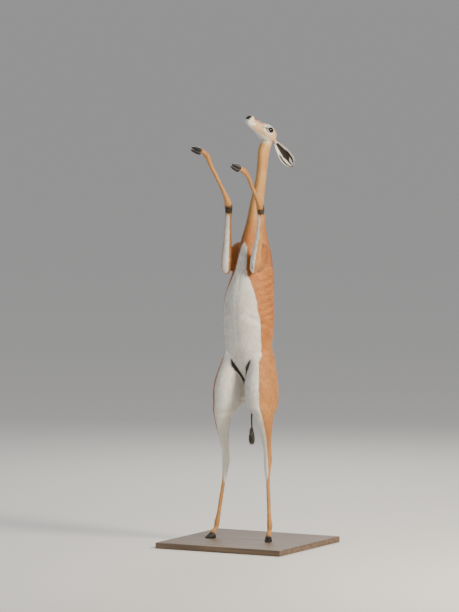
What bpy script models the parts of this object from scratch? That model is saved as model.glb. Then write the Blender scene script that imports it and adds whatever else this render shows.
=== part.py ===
"""A female gerenuk reared up on its hind legs, life size, standing on a flat display base.

The origin is the middle of the base's underside. The animal faces -Y and its left is +X.
A place is written (x, forward, height), with the height above the top of the base.
"""

import math
import random

import bmesh
import bpy
import numpy as np
from mathutils import Matrix, Vector

# Driving dimensions in metres
GAP = 0.0003
BASE_WIDTH = 0.70
BASE_DEPTH = 0.66
BASE_HEIGHT = 0.030
BASE_EDGE = 0.004
HEAD_LENGTH = 0.208
EYE_RADIUS = 0.0150
EAR_LENGTH = 0.152
EAR_HALF_WIDTH = 0.0325
EAR_THICKNESS = 0.0028
EAR_BACK_OUT_DOWN = {1.0: (0.78, 0.43, 0.45), -1.0: (0.55, 0.78, 0.30)}
CLAW_LENGTH = 0.047
CLAW_WIDTH = 0.0165
CLAW_HEIGHT = 0.027
CLAW_APART = 0.46
TUFT_LENGTH = 0.085
TUFT_LOCKS = 18
TUFT_LOCK_WIDTH = 0.008
BRUSH_LENGTH = 0.030
BRUSH_LOCK_WIDTH = 0.010

# A claw's sections: shares of its length, height, and width on the outer and inner side
CLAW = [
    (-0.16, 0.30, 0.22, 0.22),
    (-0.10, 0.58, 0.42, 0.38),
    (0.00, 0.84, 0.52, 0.44),
    (0.25, 0.98, 0.54, 0.46),
    (0.55, 0.68, 0.44, 0.45),
    (0.82, 0.38, 0.24, 0.40),
    (1.00, 0.16, 0.00, 0.28),
]

# A lock of hair: shares of its length and of its width
LOCK = ((0.0, 0.70), (0.35, 1.0), (0.75, 0.60), (1.0, 0.12))

# The core of the tail's tuft: distance down from the tail's end, and radius
TUFT_CORE = ((0.0, 0.0045), (0.012, 0.0075), (0.034, 0.0115), (0.056, 0.0085), (0.074, 0.0025))

# Points round a section of the trunk, a thigh, a lower leg and the head
TRUNK_SIDES = 26
THIGH_SIDES = 22
LEG_SIDES = 12
HEAD_SIDES = 32
HEAD_RINGS = 30

# Each station of a run of flesh: x, forward and height of its middle, half width,
# reach to the front, reach to the back, and how much wider the front is than the back
TRUNK = [
    (0.000, 0.000, 0.720, 0.030, 0.010, 0.060, 0.0),
    (0.000, 0.000, 0.760, 0.058, 0.012, 0.098, 0.0),
    (0.000, 0.000, 0.810, 0.080, 0.020, 0.118, 0.0),
    (0.000, 0.000, 0.870, 0.100, 0.064, 0.127, 0.0),
    (0.000, -0.010, 0.945, 0.1165, 0.106, 0.120, 0.04),
    (0.000, -0.014, 1.020, 0.1225, 0.127, 0.127, 0.06),
    (0.000, -0.016, 1.105, 0.1240, 0.144, 0.140, 0.06),
    (0.000, -0.020, 1.230, 0.1170, 0.145, 0.142, 0.02),
    (0.000, -0.038, 1.315, 0.1010, 0.138, 0.140, -0.08),
    (0.000, -0.048, 1.375, 0.0870, 0.132, 0.134, -0.14),
    (0.000, -0.053, 1.425, 0.0750, 0.121, 0.124, -0.18),
    (0.000, -0.058, 1.500, 0.0580, 0.096, 0.100, -0.16),
    (0.006, -0.068, 1.600, 0.0430, 0.066, 0.068, -0.10),
    (0.010, -0.075, 1.690, 0.0325, 0.047, 0.048, -0.06),
    (0.018, -0.085, 1.760, 0.0285, 0.037, 0.039, -0.04),
    (0.025, -0.095, 1.835, 0.0260, 0.033, 0.035, -0.04),
    (0.029, -0.102, 1.900, 0.0262, 0.035, 0.038, -0.04),
    (0.034, -0.107, 1.955, 0.0280, 0.042, 0.041, -0.04),
    (0.043, -0.122, 1.995, 0.0285, 0.040, 0.033, 0.0),
]
NECK_FOOT = 11
NECK_TOP = 1.935

# Stations of a hind leg, with the outward distance from the middle plane for each side
HIND_OUTWARD = {
    "right": (0.056, 0.061, 0.083, 0.0935, 0.094, 0.095, 0.101, 0.108, 0.112, 0.119, 0.125,
              0.131, 0.137, 0.142, 0.145, 0.149, 0.162, 0.172, 0.176, 0.178),
    "left": (0.056, 0.061, 0.0745, 0.082, 0.089, 0.096, 0.105, 0.114, 0.119, 0.120, 0.117,
             0.109, 0.098, 0.093, 0.092, 0.095, 0.108, 0.119, 0.123, 0.125),
}
HIND_LEG = [
    (-0.014, 1.040, 0.056, 0.076, 0.086),
    (-0.010, 0.960, 0.056, 0.080, 0.092),
    (-0.006, 0.880, 0.060, 0.096, 0.104),
    (0.008, 0.795, 0.073, 0.110, 0.110),
    (0.018, 0.730, 0.075, 0.110, 0.114),
    (0.034, 0.690, 0.069, 0.092, 0.122),
    (0.045, 0.666, 0.060, 0.079, 0.110),
    (0.053, 0.645, 0.049, 0.067, 0.086),
    (0.055, 0.620, 0.041, 0.057, 0.066),
    (0.048, 0.590, 0.034, 0.046, 0.057),
    (0.034, 0.550, 0.0275, 0.036, 0.049),
    (0.012, 0.500, 0.0205, 0.026, 0.042),
    (-0.018, 0.435, 0.0165, 0.021, 0.041),
    (-0.032, 0.400, 0.0180, 0.022, 0.041),
    (-0.036, 0.365, 0.0165, 0.020, 0.024),
    (-0.033, 0.320, 0.0120, 0.015, 0.015),
    (-0.018, 0.200, 0.0105, 0.0125, 0.0125),
    (-0.004, 0.105, 0.0120, 0.0135, 0.0145),
    (0.000, 0.078, 0.0145, 0.0150, 0.0175),
    (0.006, 0.052, 0.0130, 0.0130, 0.0150),
]
STIFLE = 7
HOCK = 12.35
HIND_FETLOCK = 17
HIND_TOE_OUT = {"right": 26.0, "left": 14.0}
HIND_CORONET = 0.016

# Below a hind pastern's last station: reach along the toe, height, half width, front, back
HIND_PASTERN_FOOT = ((0.020, 0.034, 0.0155, 0.012, 0.014), (0.028, 0.014, 0.0160, 0.010, 0.014))

# Stations of a raised foreleg from the point of the elbow up to the fetlock;
# its front is turned to the neck, and its sole side away from it
FORELEG = {
    "right": [
        (-0.079, 0.084, 1.338, 0.011, 0.013, 0.012, 0.0),
        (-0.079, 0.083, 1.356, 0.020, 0.026, 0.023, 0.0),
        (-0.079, 0.082, 1.395, 0.024, 0.033, 0.028, 0.0),
        (-0.076, 0.082, 1.450, 0.022, 0.031, 0.026, 0.0),
        (-0.072, 0.083, 1.510, 0.0190, 0.025, 0.021, 0.0),
        (-0.067, 0.086, 1.590, 0.0160, 0.0185, 0.0175, 0.0),
        (-0.063, 0.089, 1.640, 0.0165, 0.0185, 0.017, 0.0),
        (-0.062, 0.091, 1.675, 0.0195, 0.0215, 0.019, 0.0),
        (-0.066, 0.095, 1.705, 0.0165, 0.0175, 0.018, 0.0),
        (-0.078, 0.106, 1.745, 0.0120, 0.0130, 0.0135, 0.0),
        (-0.110, 0.136, 1.835, 0.0108, 0.0120, 0.0125, 0.0),
        (-0.133, 0.158, 1.900, 0.0120, 0.0130, 0.0140, 0.0),
        (-0.141, 0.167, 1.930, 0.0145, 0.0150, 0.0175, 0.0),
        (-0.157, 0.185, 1.953, 0.0130, 0.0130, 0.0150, 0.0),
    ],
    "left": [
        (0.078, 0.082, 1.344, 0.011, 0.013, 0.012, 0.0),
        (0.078, 0.081, 1.362, 0.020, 0.026, 0.023, 0.0),
        (0.082, 0.080, 1.404, 0.024, 0.033, 0.028, 0.0),
        (0.091, 0.081, 1.454, 0.022, 0.031, 0.026, 0.0),
        (0.103, 0.083, 1.510, 0.0190, 0.025, 0.021, 0.0),
        (0.115, 0.089, 1.590, 0.0160, 0.0185, 0.0175, 0.0),
        (0.121, 0.095, 1.640, 0.0165, 0.0185, 0.017, 0.0),
        (0.125, 0.106, 1.676, 0.0195, 0.0215, 0.019, 0.0),
        (0.128, 0.126, 1.702, 0.0165, 0.0175, 0.018, 0.0),
        (0.132, 0.157, 1.731, 0.0120, 0.0130, 0.0135, 0.0),
        (0.143, 0.240, 1.805, 0.0108, 0.0120, 0.0125, 0.0),
        (0.151, 0.292, 1.852, 0.0120, 0.0130, 0.0140, 0.0),
        (0.150, 0.315, 1.869, 0.0145, 0.0150, 0.0175, 0.0),
        (0.143, 0.345, 1.885, 0.0130, 0.0130, 0.0150, 0.0),
    ],
}
CARPUS = 7
FORE_FETLOCK = 11

# Where a raised foot points; its pastern goes on by these reaches with half width, front, back
FORE_TIP = {"right": (-0.207, 0.226, 1.975), "left": (0.112, 0.392, 1.912)}
FORE_PASTERN_FOOT = ((0.014, 0.0148, 0.012, 0.014), (0.028, 0.0152, 0.010, 0.014))
FORE_CORONET = 0.017
FORE_SOLE_DROP = 0.016

# The upper arm, from inside the chest at the shoulder blade down to the elbow
UPPER_ARM = [
    (0.034, -0.060, 1.455, 0.030, 0.050, 0.060, 0.0),
    (0.058, -0.030, 1.440, 0.036, 0.055, 0.066, 0.0),
    (0.073, 0.008, 1.415, 0.034, 0.050, 0.060, 0.0),
    (0.080, 0.045, 1.392, 0.026, 0.036, 0.042, 0.0),
    (0.080, 0.076, 1.380, 0.0175, 0.021, 0.024, 0.0),
]

# The head: how far along it each section lies, its half width, its top and its bottom
HEAD = [
    (0.013, 0.012, 0.010, -0.018),
    (0.017, 0.023, 0.021, -0.027),
    (0.030, 0.033, 0.0320, -0.037),
    (0.052, 0.0395, 0.0390, -0.0450),
    (0.078, 0.0400, 0.0400, -0.0430),
    (0.098, 0.0350, 0.0340, -0.0385),
    (0.122, 0.0265, 0.0280, -0.0335),
    (0.148, 0.0220, 0.0250, -0.0300),
    (0.172, 0.0205, 0.0250, -0.0290),
    (0.190, 0.0200, 0.0245, -0.0270),
    (0.201, 0.0175, 0.0195, -0.0220),
    (0.206, 0.0120, 0.0130, -0.0140),
    (0.208, 0.0050, 0.0050, -0.0050),
]
HEAD_BACK = (0.0631, -0.1729, 2.0012)
HEAD_FORWARD = (-0.367, 0.754, 0.545)
HEAD_UP = (0.239, -0.490, 0.839)
EYE_ALONG = 0.080
EYE_OUT = 0.0340
EYE_UP = 0.0105
EAR_ALONG = 0.020
EAR_OUT = 0.036
EAR_UP = -0.022
MOUTH_CORNER = 0.150
MOUTH_DEPTH = 0.0022
NOSTRIL_ALONG = 0.2005
NOSTRIL_OUT = 0.0145
NOSTRIL_UP = 0.0100

TAIL = [
    (0.000, -0.085, 0.830, 0.016, 0.012, 0.012, 0.0),
    (-0.002, -0.118, 0.815, 0.014, 0.011, 0.010, 0.0),
    (-0.012, -0.132, 0.770, 0.010, 0.008, 0.008, 0.0),
    (-0.028, -0.128, 0.690, 0.0065, 0.0055, 0.0055, 0.0),
    (-0.040, -0.118, 0.620, 0.0050, 0.0045, 0.0045, 0.0),
    (-0.037, -0.112, 0.548, 0.0045, 0.0040, 0.0040, 0.0),
]

HIDE_TAN = (0.62, 0.29, 0.11)
HIDE_BUFF = (0.72, 0.47, 0.26)
HIDE_WHITE = (0.80, 0.76, 0.70)
HIDE_DARK = (0.08, 0.05, 0.035)
HORN_BLACK = (0.025, 0.022, 0.020)
EYE_BLACK = (0.010, 0.008, 0.007)
BASE_WOOD = (0.16, 0.10, 0.06)


def place(spot):
    """A place (x, forward, height above the base's top) in world coordinates."""
    x, forward, height = spot
    return Vector((x, -forward, BASE_HEIGHT + height))


def way(direction):
    """A direction (x, forward, height) in world coordinates, one long."""
    x, forward, height = direction
    return Vector((x, -forward, height)).normalized()


def material(name, colour, roughness):
    """One plain finish."""
    finish = bpy.data.materials.get(name)
    if finish is None:
        finish = bpy.data.materials.new(name)
        finish.use_nodes = True
        shader = finish.node_tree.nodes["Principled BSDF"]
        shader.inputs["Base Color"].default_value = (*colour, 1.0)
        shader.inputs["Roughness"].default_value = roughness
        shader.inputs["Metallic"].default_value = 0.0
    return finish


def solid(name, corners, faces, finish):
    """A named object from corners and faces, its faces turned outwards."""
    mesh = bpy.data.meshes.new(name)
    mesh.from_pydata([tuple(corner) for corner in corners], [], faces)
    work = bmesh.new()
    work.from_mesh(mesh)
    bmesh.ops.recalc_face_normals(work, faces=work.faces)
    work.to_mesh(mesh)
    work.free()
    mesh.shade_smooth()
    mesh.set_sharp_from_angle(angle=math.radians(50.0))
    thing = bpy.data.objects.new(name, mesh)
    thing.data.materials.append(finish)
    bpy.context.scene.collection.objects.link(thing)
    return thing


def between(keys, values, wanted):
    """Smooth values at the wanted keys: cubic pieces through every station.

    The slope at a station is the mean of the slopes on its two sides, each weighted by the
    length of the other side.
    """
    keys = np.asarray(keys, float)
    values = np.asarray(values, float)
    wanted = np.clip(np.asarray(wanted, float), keys[0], keys[-1])
    step = np.diff(keys)[:, None]
    rise = np.diff(values, axis=0) / step
    slope = np.empty_like(values)
    slope[1:-1] = (step[1:] * rise[:-1] + step[:-1] * rise[1:]) / (step[1:] + step[:-1])
    slope[0] = rise[0]
    slope[-1] = rise[-1]
    piece = np.clip(np.searchsorted(keys, wanted, side="right") - 1, 0, len(keys) - 2)
    width = step[piece]
    part = ((wanted - keys[piece])[:, None]) / width
    near = (1 + 2 * part) * (1 - part) ** 2
    far = part ** 2 * (3 - 2 * part)
    return (near * values[piece] + far * values[piece + 1]
            + part * (1 - part) ** 2 * width * slope[piece]
            - part ** 2 * (1 - part) * width * slope[piece + 1])


def path_keys(stations):
    """How far along the path each station lies."""
    spots = np.array([station[:3] for station in stations], float)
    return np.concatenate([[0.0], np.cumsum(np.linalg.norm(np.diff(spots, axis=0), axis=1))])


def key_of(stations, number):
    """The distance along the path of a station, or of a place between two."""
    keys = path_keys(stations)
    return float(np.interp(number, np.arange(len(keys)), keys))


def flesh_rings(stations, wanted, sides, level, front, grow=0.0):
    """Rings of points round a run of flesh at the wanted distances along its path.

    A ring is an oval: across it the half width times a cosine, along its front the reach to
    the front or the back times a sine. Level rings lie flat, and others stand square to the
    path. The front direction is made square to the ring's own axis.
    """
    keys = path_keys(stations)
    values = between(keys, stations, wanted)
    tiny = 1e-4
    ahead = between(keys, stations, np.asarray(wanted) + tiny)[:, :3]
    behind = between(keys, stations, np.asarray(wanted) - tiny)[:, :3]
    axis = ahead - behind
    if level:
        axis = np.tile((0.0, 0.0, 1.0), (len(values), 1))
    axis /= np.linalg.norm(axis, axis=1)[:, None]
    front = np.tile(np.asarray(front, float), (len(values), 1))
    front -= axis * np.sum(axis * front, axis=1)[:, None]
    front /= np.linalg.norm(front, axis=1)[:, None]
    side = np.cross(front, axis)
    turn = np.linspace(0.0, 2.0 * math.pi, sides, endpoint=False) + math.pi / sides
    across, along = np.cos(turn), np.sin(turn)
    reach = np.where(along > 0.0, values[:, 4:5], values[:, 5:6]) + grow
    width = (values[:, 3:4] + grow) * (1.0 + values[:, 6:7] * along)
    points = (values[:, None, :3]
              + side[:, None, :] * (width * across)[:, :, None]
              + front[:, None, :] * (reach * along)[:, :, None])
    points[:, :, 1] *= -1.0
    points[:, :, 2] += BASE_HEIGHT
    return points


def skin_rings(name, rings, finish):
    """A closed solid from rings of equal count, with a flat face over each end.

    Its sides are triangles that all lean the same way, so that a grown copy of a solid
    keeps the same distance from it all over.
    """
    count, sides = rings.shape[:2]
    faces = []
    for row in range(count - 1):
        for column in range(sides):
            after = (column + 1) % sides
            low, high = row * sides, (row + 1) * sides
            faces.append((low + column, low + after, high + after))
            faces.append((low + column, high + after, high + column))
    faces.append(tuple(range(sides)))
    faces.append(tuple(range((count - 1) * sides, count * sides)))
    return solid(name, rings.reshape(-1, 3), faces, finish)


def flesh(name, stations, first, last, spacing, sides, level, front, finish, grow=0.0):
    """The run of flesh between two stations, as one solid."""
    start, stop = key_of(stations, first), key_of(stations, last)
    count = max(2, int(round((stop - start) / spacing)) + 1)
    wanted = np.linspace(start, stop, count)
    return skin_rings(name, flesh_rings(stations, wanted, sides, level, front, grow), finish)


def evaluated(thing):
    """The thing's mesh with its modifiers worked in, in place of its own."""
    depsgraph = bpy.context.evaluated_depsgraph_get()
    mesh = bpy.data.meshes.new_from_object(thing.evaluated_get(depsgraph))
    thing.modifiers.clear()
    old = thing.data
    thing.data = mesh
    bpy.data.meshes.remove(old)


def keep_largest(thing):
    """Keep the largest closed surface of a solid and drop any loose scrap."""
    work = bmesh.new()
    work.from_mesh(thing.data)
    left = set(work.verts)
    islands = []
    while left:
        seed = left.pop()
        island, edge = [seed], [seed]
        while edge:
            for link in edge.pop().link_edges:
                for corner in link.verts:
                    if corner in left:
                        left.discard(corner)
                        island.append(corner)
                        edge.append(corner)
        islands.append(island)
    islands.sort(key=len, reverse=True)
    for island in islands[1:]:
        bmesh.ops.delete(work, geom=island, context="VERTS")
    work.to_mesh(thing.data)
    work.free()


def drop(thing):
    """Take a helper out of the scene."""
    bpy.data.objects.remove(thing)


def combine(thing, other, operation):
    """Cut another solid from this one, or join it on, and drop the other."""
    step = thing.modifiers.new(operation, "BOOLEAN")
    step.operation = operation
    step.object = other
    step.solver = "EXACT"
    evaluated(thing)
    drop(other)
    keep_largest(thing)


def join_all(thing, others):
    """Join a whole set of closed solids to this one in one union."""
    group = bpy.data.collections.new("joined")
    for other in others:
        group.objects.link(other)
    step = thing.modifiers.new("UNION", "BOOLEAN")
    step.operation = "UNION"
    step.operand_type = "COLLECTION"
    step.collection = group
    step.solver = "EXACT"
    evaluated(thing)
    for other in others:
        drop(other)
    bpy.data.collections.remove(group)
    keep_largest(thing)


def ball(name, middle, radii, axes, finish, segments=16, rows=10):
    """An egg-shaped solid with its three radii along three given directions."""
    mesh = bpy.data.meshes.new(name)
    work = bmesh.new()
    bmesh.ops.create_uvsphere(work, u_segments=segments, v_segments=rows, radius=1.0)
    frame = Matrix([axes[0] * radii[0], axes[1] * radii[1], axes[2] * radii[2]]).transposed()
    bmesh.ops.transform(work, matrix=Matrix.Translation(middle) @ frame.to_4x4(),
                        verts=work.verts)
    bmesh.ops.recalc_face_normals(work, faces=work.faces)
    work.to_mesh(mesh)
    work.free()
    mesh.shade_smooth()
    thing = bpy.data.objects.new(name, mesh)
    thing.data.materials.append(finish)
    bpy.context.scene.collection.objects.link(thing)
    return thing


# Trunk and neck

FACING = (0.0, 1.0, 0.0)


def trunk_heights(low, high, spacing):
    """Evenly spaced section heights between two levels of the trunk and neck."""
    return np.linspace(low, high, max(2, int(round((high - low) / spacing)) + 1))


def trunk(name, heights, finish, grow=0.0):
    """A length of the trunk and neck with level sections at the given heights."""
    wanted = np.interp(heights, [station[2] for station in TRUNK], path_keys(TRUNK))
    rings = flesh_rings(TRUNK, wanted, TRUNK_SIDES, True, FACING, grow)
    return skin_rings(name, rings, finish)


NECK_FOOT_HEIGHT = TRUNK[NECK_FOOT][2]
TORSO_HEIGHTS = trunk_heights(TRUNK[0][2], NECK_FOOT_HEIGHT - GAP / 2, 0.035)
NECK_HEIGHTS = trunk_heights(NECK_FOOT_HEIGHT + GAP / 2, NECK_TOP - GAP / 2, 0.030)
NAPE_HEIGHTS = trunk_heights(NECK_TOP + GAP / 2, TRUNK[-1][2], 0.015)


def grown_trunk():
    """The torso and the foot of the neck with the touching gap added, as a cutter."""
    heights = np.concatenate([TORSO_HEIGHTS, NECK_HEIGHTS[:4]])
    return trunk("trunk_cutter", heights, material("hide_tan", HIDE_TAN, 0.8), GAP)


def build_trunk():
    """The torso and the neck, which meet level at the foot of the neck."""
    trunk("torso", TORSO_HEIGHTS, material("hide_tan", HIDE_TAN, 0.8))
    trunk("neck", NECK_HEIGHTS, material("hide_buff", HIDE_BUFF, 0.8))


# Hind legs

def hind_stations(side):
    """The stations of one hind leg, with its outward distances on its own side."""
    sign = 1.0 if side == "left" else -1.0
    return [(sign * outward, forward, height, width, front, back, 0.0)
            for outward, (forward, height, width, front, back) in zip(HIND_OUTWARD[side], HIND_LEG)]


def toe_ways(side):
    """Forward, outward and up for a hind foot, turned out from the animal's own front."""
    sign = 1.0 if side == "left" else -1.0
    turn = math.radians(HIND_TOE_OUT[side])
    forward = way((sign * math.sin(turn), math.cos(turn), 0.0))
    up = Vector((0.0, 0.0, 1.0))
    return forward, up.cross(forward) * -sign, up


def claw(name, heel, forward, up, inward, finish, grow=0.0):
    """One claw of a hoof, from its heel to its point, flat underneath.

    Along it the top falls in a straight line from the coronet to the point, the outer wall
    bows out by a quarter sine, and the inner wall stays nearly straight.
    """
    sizes = (CLAW_LENGTH, CLAW_HEIGHT, CLAW_WIDTH, CLAW_WIDTH)
    along, height, outer, inner = (np.array(CLAW) * sizes).T
    across, raised = np.array([(-1.0, 0.0), (-1.0, 0.35), (-0.72, 0.80), (-0.25, 1.0),
                               (0.25, 1.0), (0.72, 0.80), (1.0, 0.35), (1.0, 0.0)]).T
    wide = np.where(across[None, :] > 0.0, inner[:, None], outer[:, None]) + grow
    points = (np.array(heel)[None, None, :]
              + np.array(forward)[None, None, :] * (along[:, None, None] * (1.0 + grow * 30.0))
              + np.array(inward)[None, None, :] * (wide * across[None, :])[:, :, None]
              + np.array(up)[None, None, :] * (height[:, None] * raised[None, :]
                                               + grow * (2.0 * raised - 1.0))[:, :, None])
    return skin_rings(name, points, finish)


def build_foot(prefix, side, coronet, forward, outward, up, pastern, black):
    """The two claws of a foot, side by side, and the pastern cut to sit on them."""
    for word, sign in (("outer", 1.0), ("inner", -1.0)):
        middle = coronet + outward * (sign * (CLAW_WIDTH * CLAW_APART + GAP))
        name = f"{prefix}_claw_{word}_{side}"
        claw(name, middle, forward, up, outward * -sign, black)
        cutter = claw(name + "_cutter", middle, forward, up, outward * -sign, black, grow=GAP)
        combine(pastern, cutter, "DIFFERENCE")


def build_hind_leg(side):
    """Thigh, shank, cannon, pastern and claws of one hind leg."""
    tan = material("hide_tan", HIDE_TAN, 0.8)
    white = material("hide_white", HIDE_WHITE, 0.8)
    black = material("horn_black", HORN_BLACK, 0.45)
    stations = hind_stations(side)
    half = GAP / 2 / 0.02
    thigh = flesh(f"thigh_{side}", stations, 0, STIFLE - half, 0.022, THIGH_SIDES, True,
                  FACING, tan)
    combine(thigh, grown_trunk(), "DIFFERENCE")
    flesh(f"shank_{side}", stations, STIFLE + half, HOCK - half, 0.022, 18, True, FACING, white)
    flesh(f"hind_cannon_{side}", stations, HOCK + half, HIND_FETLOCK - half / 4, 0.028,
          LEG_SIDES, True, FACING, tan)
    forward, outward, up = toe_ways(side)
    ankle = Vector((stations[-1][0], stations[-1][1], stations[-1][2]))
    toe = Vector((forward.x, -forward.y, 0.0))
    foot = stations[HIND_FETLOCK:]
    for reach, height, wide, front, back in HIND_PASTERN_FOOT:
        spot = ankle + toe * reach
        foot.append((spot.x, spot.y, height, wide, front, back, 0.0))
    pastern = flesh(f"hind_pastern_{side}", foot, half / 4, len(foot) - 1, 0.014, LEG_SIDES,
                    True, FACING, tan)
    heel = ankle + toe * HIND_CORONET
    coronet = place((heel.x, heel.y, GAP))
    build_foot("hind", side, coronet, forward, outward, up, pastern, black)


# Forelegs

BACKWARD = (0.0, -1.0, 0.0)


def build_foreleg(side):
    """Upper arm, forearm, cannon, pastern and claws of one raised foreleg."""
    tan = material("hide_tan", HIDE_TAN, 0.8)
    black = material("horn_black", HORN_BLACK, 0.45)
    sign = 1.0 if side == "left" else -1.0
    stations = FORELEG[side]
    half = GAP / 2 / 0.03
    forearm = flesh(f"forearm_{side}", stations, 0, CARPUS - half, 0.024, LEG_SIDES, False,
                    BACKWARD, tan)
    build_brush(forearm, side)
    flesh(f"fore_cannon_{side}", stations, CARPUS + half, FORE_FETLOCK - half, 0.026, LEG_SIDES,
          False, BACKWARD, tan)
    arm = [(sign * station[0],) + station[1:] for station in UPPER_ARM]
    upper = flesh(f"upper_arm_{side}", arm, 0, len(arm) - 1, 0.02, 18, False, (0.0, 0.0, 1.0), tan)
    combine(upper, grown_trunk(), "DIFFERENCE")
    sleeve = flesh("forearm_cutter", stations, 0, CARPUS - half, 0.024, LEG_SIDES, False,
                   BACKWARD, tan, grow=GAP)
    combine(upper, sleeve, "DIFFERENCE")
    build_fore_foot(side, stations, tan, black, half)


def build_fore_foot(side, stations, tan, black, half):
    """The bent pastern and the claws of a raised foot, whose soles face away from the neck."""
    sign = 1.0 if side == "left" else -1.0
    end = Vector(stations[-1][:3])
    tip = Vector(FORE_TIP[side])
    toe = (tip - end).normalized()
    foot = list(stations)
    for reach, wide, front, back in FORE_PASTERN_FOOT:
        spot = end + toe * reach
        foot.append((spot.x, spot.y, spot.z, wide, front, back, 0.0))
    pastern = flesh(f"fore_pastern_{side}", foot, FORE_FETLOCK + half, len(foot) - 1, 0.013,
                    LEG_SIDES, False, BACKWARD, tan)
    forward = way(toe)
    back = Vector((0.0, 1.0, 0.0))
    up = (back - forward * back.dot(forward)).normalized()
    outward = up.cross(forward).normalized() * -sign
    coronet = place(end) + forward * FORE_CORONET - up * FORE_SOLE_DROP
    build_foot("fore", side, coronet, forward, outward, up, pastern, black)


def lock(name, root, direction, across, length, width, finish):
    """A flat tapered lock of hair: three broad sections and a point, four corners each."""
    thin = direction.cross(across).normalized()
    rings = []
    for along, wide in LOCK:
        middle = root + direction * (length * along)
        side = across * (width * wide / 2)
        depth = thin * (width * (0.16 + 0.10 * wide))
        rings.append([middle + side, middle + depth, middle - side, middle - depth])
    return skin_rings(name, np.array([[tuple(corner) for corner in ring] for ring in rings]), finish)


def build_brush(forearm, side):
    """The dark brush on the front of the knee, as flat locks rooted in the forearm."""
    dark = material("hide_dark", HIDE_DARK, 0.9)
    stations = FORELEG[side]
    draw = random.Random(7)
    locks = []
    for row in range(2):
        for column in range(5):
            turn = math.radians(-64 + 32 * column + 16 * (row % 2))
            key = key_of(stations, CARPUS - 1.30 + 0.60 * row)
            x, forward, height, wide, front = between(path_keys(stations), stations, [key])[0][:5]
            outward = way((math.sin(turn), -math.cos(turn), 0.0))
            root = place((x, forward, height)) + outward * (min(wide, front) * 0.72)
            lie = (outward * 0.55 + Vector((0.0, 0.0, 1.0))).normalized()
            across = lie.cross(outward).normalized()
            length = BRUSH_LENGTH * (0.85 + 0.25 * draw.random())
            locks.append(lock(f"brush_{row}_{column}", root, lie, across, length,
                              BRUSH_LOCK_WIDTH, dark))
    join_all(forearm, locks)


# Head

def head_ways():
    """Forward, left and up along the head."""
    forward = way(HEAD_FORWARD)
    up = way(HEAD_UP)
    up = (up - forward * up.dot(forward)).normalized()
    return forward, up.cross(forward).normalized(), up


def head_place(along, left, up):
    """A place on the head in world coordinates."""
    ahead, side, above = head_ways()
    return place(HEAD_BACK) + ahead * along + side * left + above * up


def head_rings(count, sides, grow=0.0):
    """Rings round the head from the back of the skull to the nose.

    Round a ring the half width follows a cosine and the height a sine, with its power just
    under one so that the cheeks are flat; the line of the mouth is a narrow groove.
    """
    keys = np.array([section[0] for section in HEAD])
    spread = 0.5 - 0.5 * np.cos(np.linspace(0.0, math.pi, count))
    along = keys[0] + (keys[-1] - keys[0]) * (0.35 * spread + 0.65 * np.linspace(0.0, 1.0, count))
    wide, top, bottom = between(keys, [section[1:] for section in HEAD], along).T
    middle = (top + bottom) / 2
    tall = (top - bottom) / 2 + grow
    turn = np.linspace(0.0, 2.0 * math.pi, sides, endpoint=False) + math.pi / sides
    cosine = np.sign(np.cos(turn)) * np.abs(np.cos(turn)) ** 0.86
    sine = np.sign(np.sin(turn)) * np.abs(np.sin(turn)) ** 0.92
    lean = 1.0 - 0.10 * sine[None, :] * np.sin(np.clip(along / HEAD_LENGTH, 0, 1) * math.pi)[:, None]
    left = (wide[:, None] + grow) * lean * cosine[None, :]
    up = middle[:, None] + tall[:, None] * sine[None, :]
    lip = -0.0045 - 0.10 * (HEAD_LENGTH - along)
    near = np.exp(-((up - lip[:, None]) / 0.0016) ** 2)
    inside = np.clip((along - MOUTH_CORNER) / 0.010, 0.0, 1.0)[:, None]
    pull = 1.0 - near * inside * MOUTH_DEPTH / np.maximum(wide[:, None], 0.006)
    left = left * pull
    ahead, side, above = (np.array(axis) for axis in head_ways())
    start = np.array(place(HEAD_BACK))
    return (start + ahead * along[:, None, None] + side * left[:, :, None]
            + above * up[:, :, None])


def build_head():
    """The head, with sockets, lids, nostrils and the line of the mouth, cut level at the neck."""
    buff = material("hide_buff", HIDE_BUFF, 0.8)
    ahead, side, above = head_ways()
    head = skin_rings("head", head_rings(HEAD_RINGS, HEAD_SIDES), buff)
    nape = trunk("nape", NAPE_HEIGHTS, buff)
    combine(head, nape, "UNION")
    for sign, word in ((1.0, "left"), (-1.0, "right")):
        middle = head_place(EYE_ALONG, sign * EYE_OUT, EYE_UP)
        axes = (ahead, side, above)
        lid = EYE_RADIUS + 0.0032
        combine(head, ball("lids", middle, (lid * 1.22, lid, lid), axes, buff), "UNION")
        socket = ball("socket", middle, (EYE_RADIUS + GAP,) * 3, axes, buff, 14, 9)
        opening = middle + side * sign * EYE_RADIUS
        tilted = (ahead * 0.97 - above * 0.24).normalized()
        combine(socket, ball("lid_opening", opening, (0.0150, 0.012, 0.0115),
                             (tilted, side, tilted.cross(side)), buff), "UNION")
        combine(head, socket, "DIFFERENCE")
        ball(f"eye_{word}", middle, (EYE_RADIUS,) * 3, axes, material("eye_black", EYE_BLACK, 0.1),
             14, 9)
        nostril = head_place(NOSTRIL_ALONG, sign * NOSTRIL_OUT, NOSTRIL_UP)
        slit = (ahead * 0.75 - above * 0.66).normalized()
        combine(head, ball("nostril", nostril, (0.0050, 0.0045, 0.0022),
                           (slit, side, slit.cross(side)), buff, 10, 6), "DIFFERENCE")


def ear_ways(sign):
    """Along an ear to its tip, the way its cup opens, and across it."""
    ahead, side, above = head_ways()
    back, out, down = EAR_BACK_OUT_DOWN[sign]
    along = (ahead * -back + side * (out * sign) - above * down).normalized()
    opening = ahead * 0.569 + side * (0.791 * sign) - above * 0.233
    opening = (opening - along * opening.dot(along)).normalized()
    return along, opening, along.cross(opening)


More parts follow.
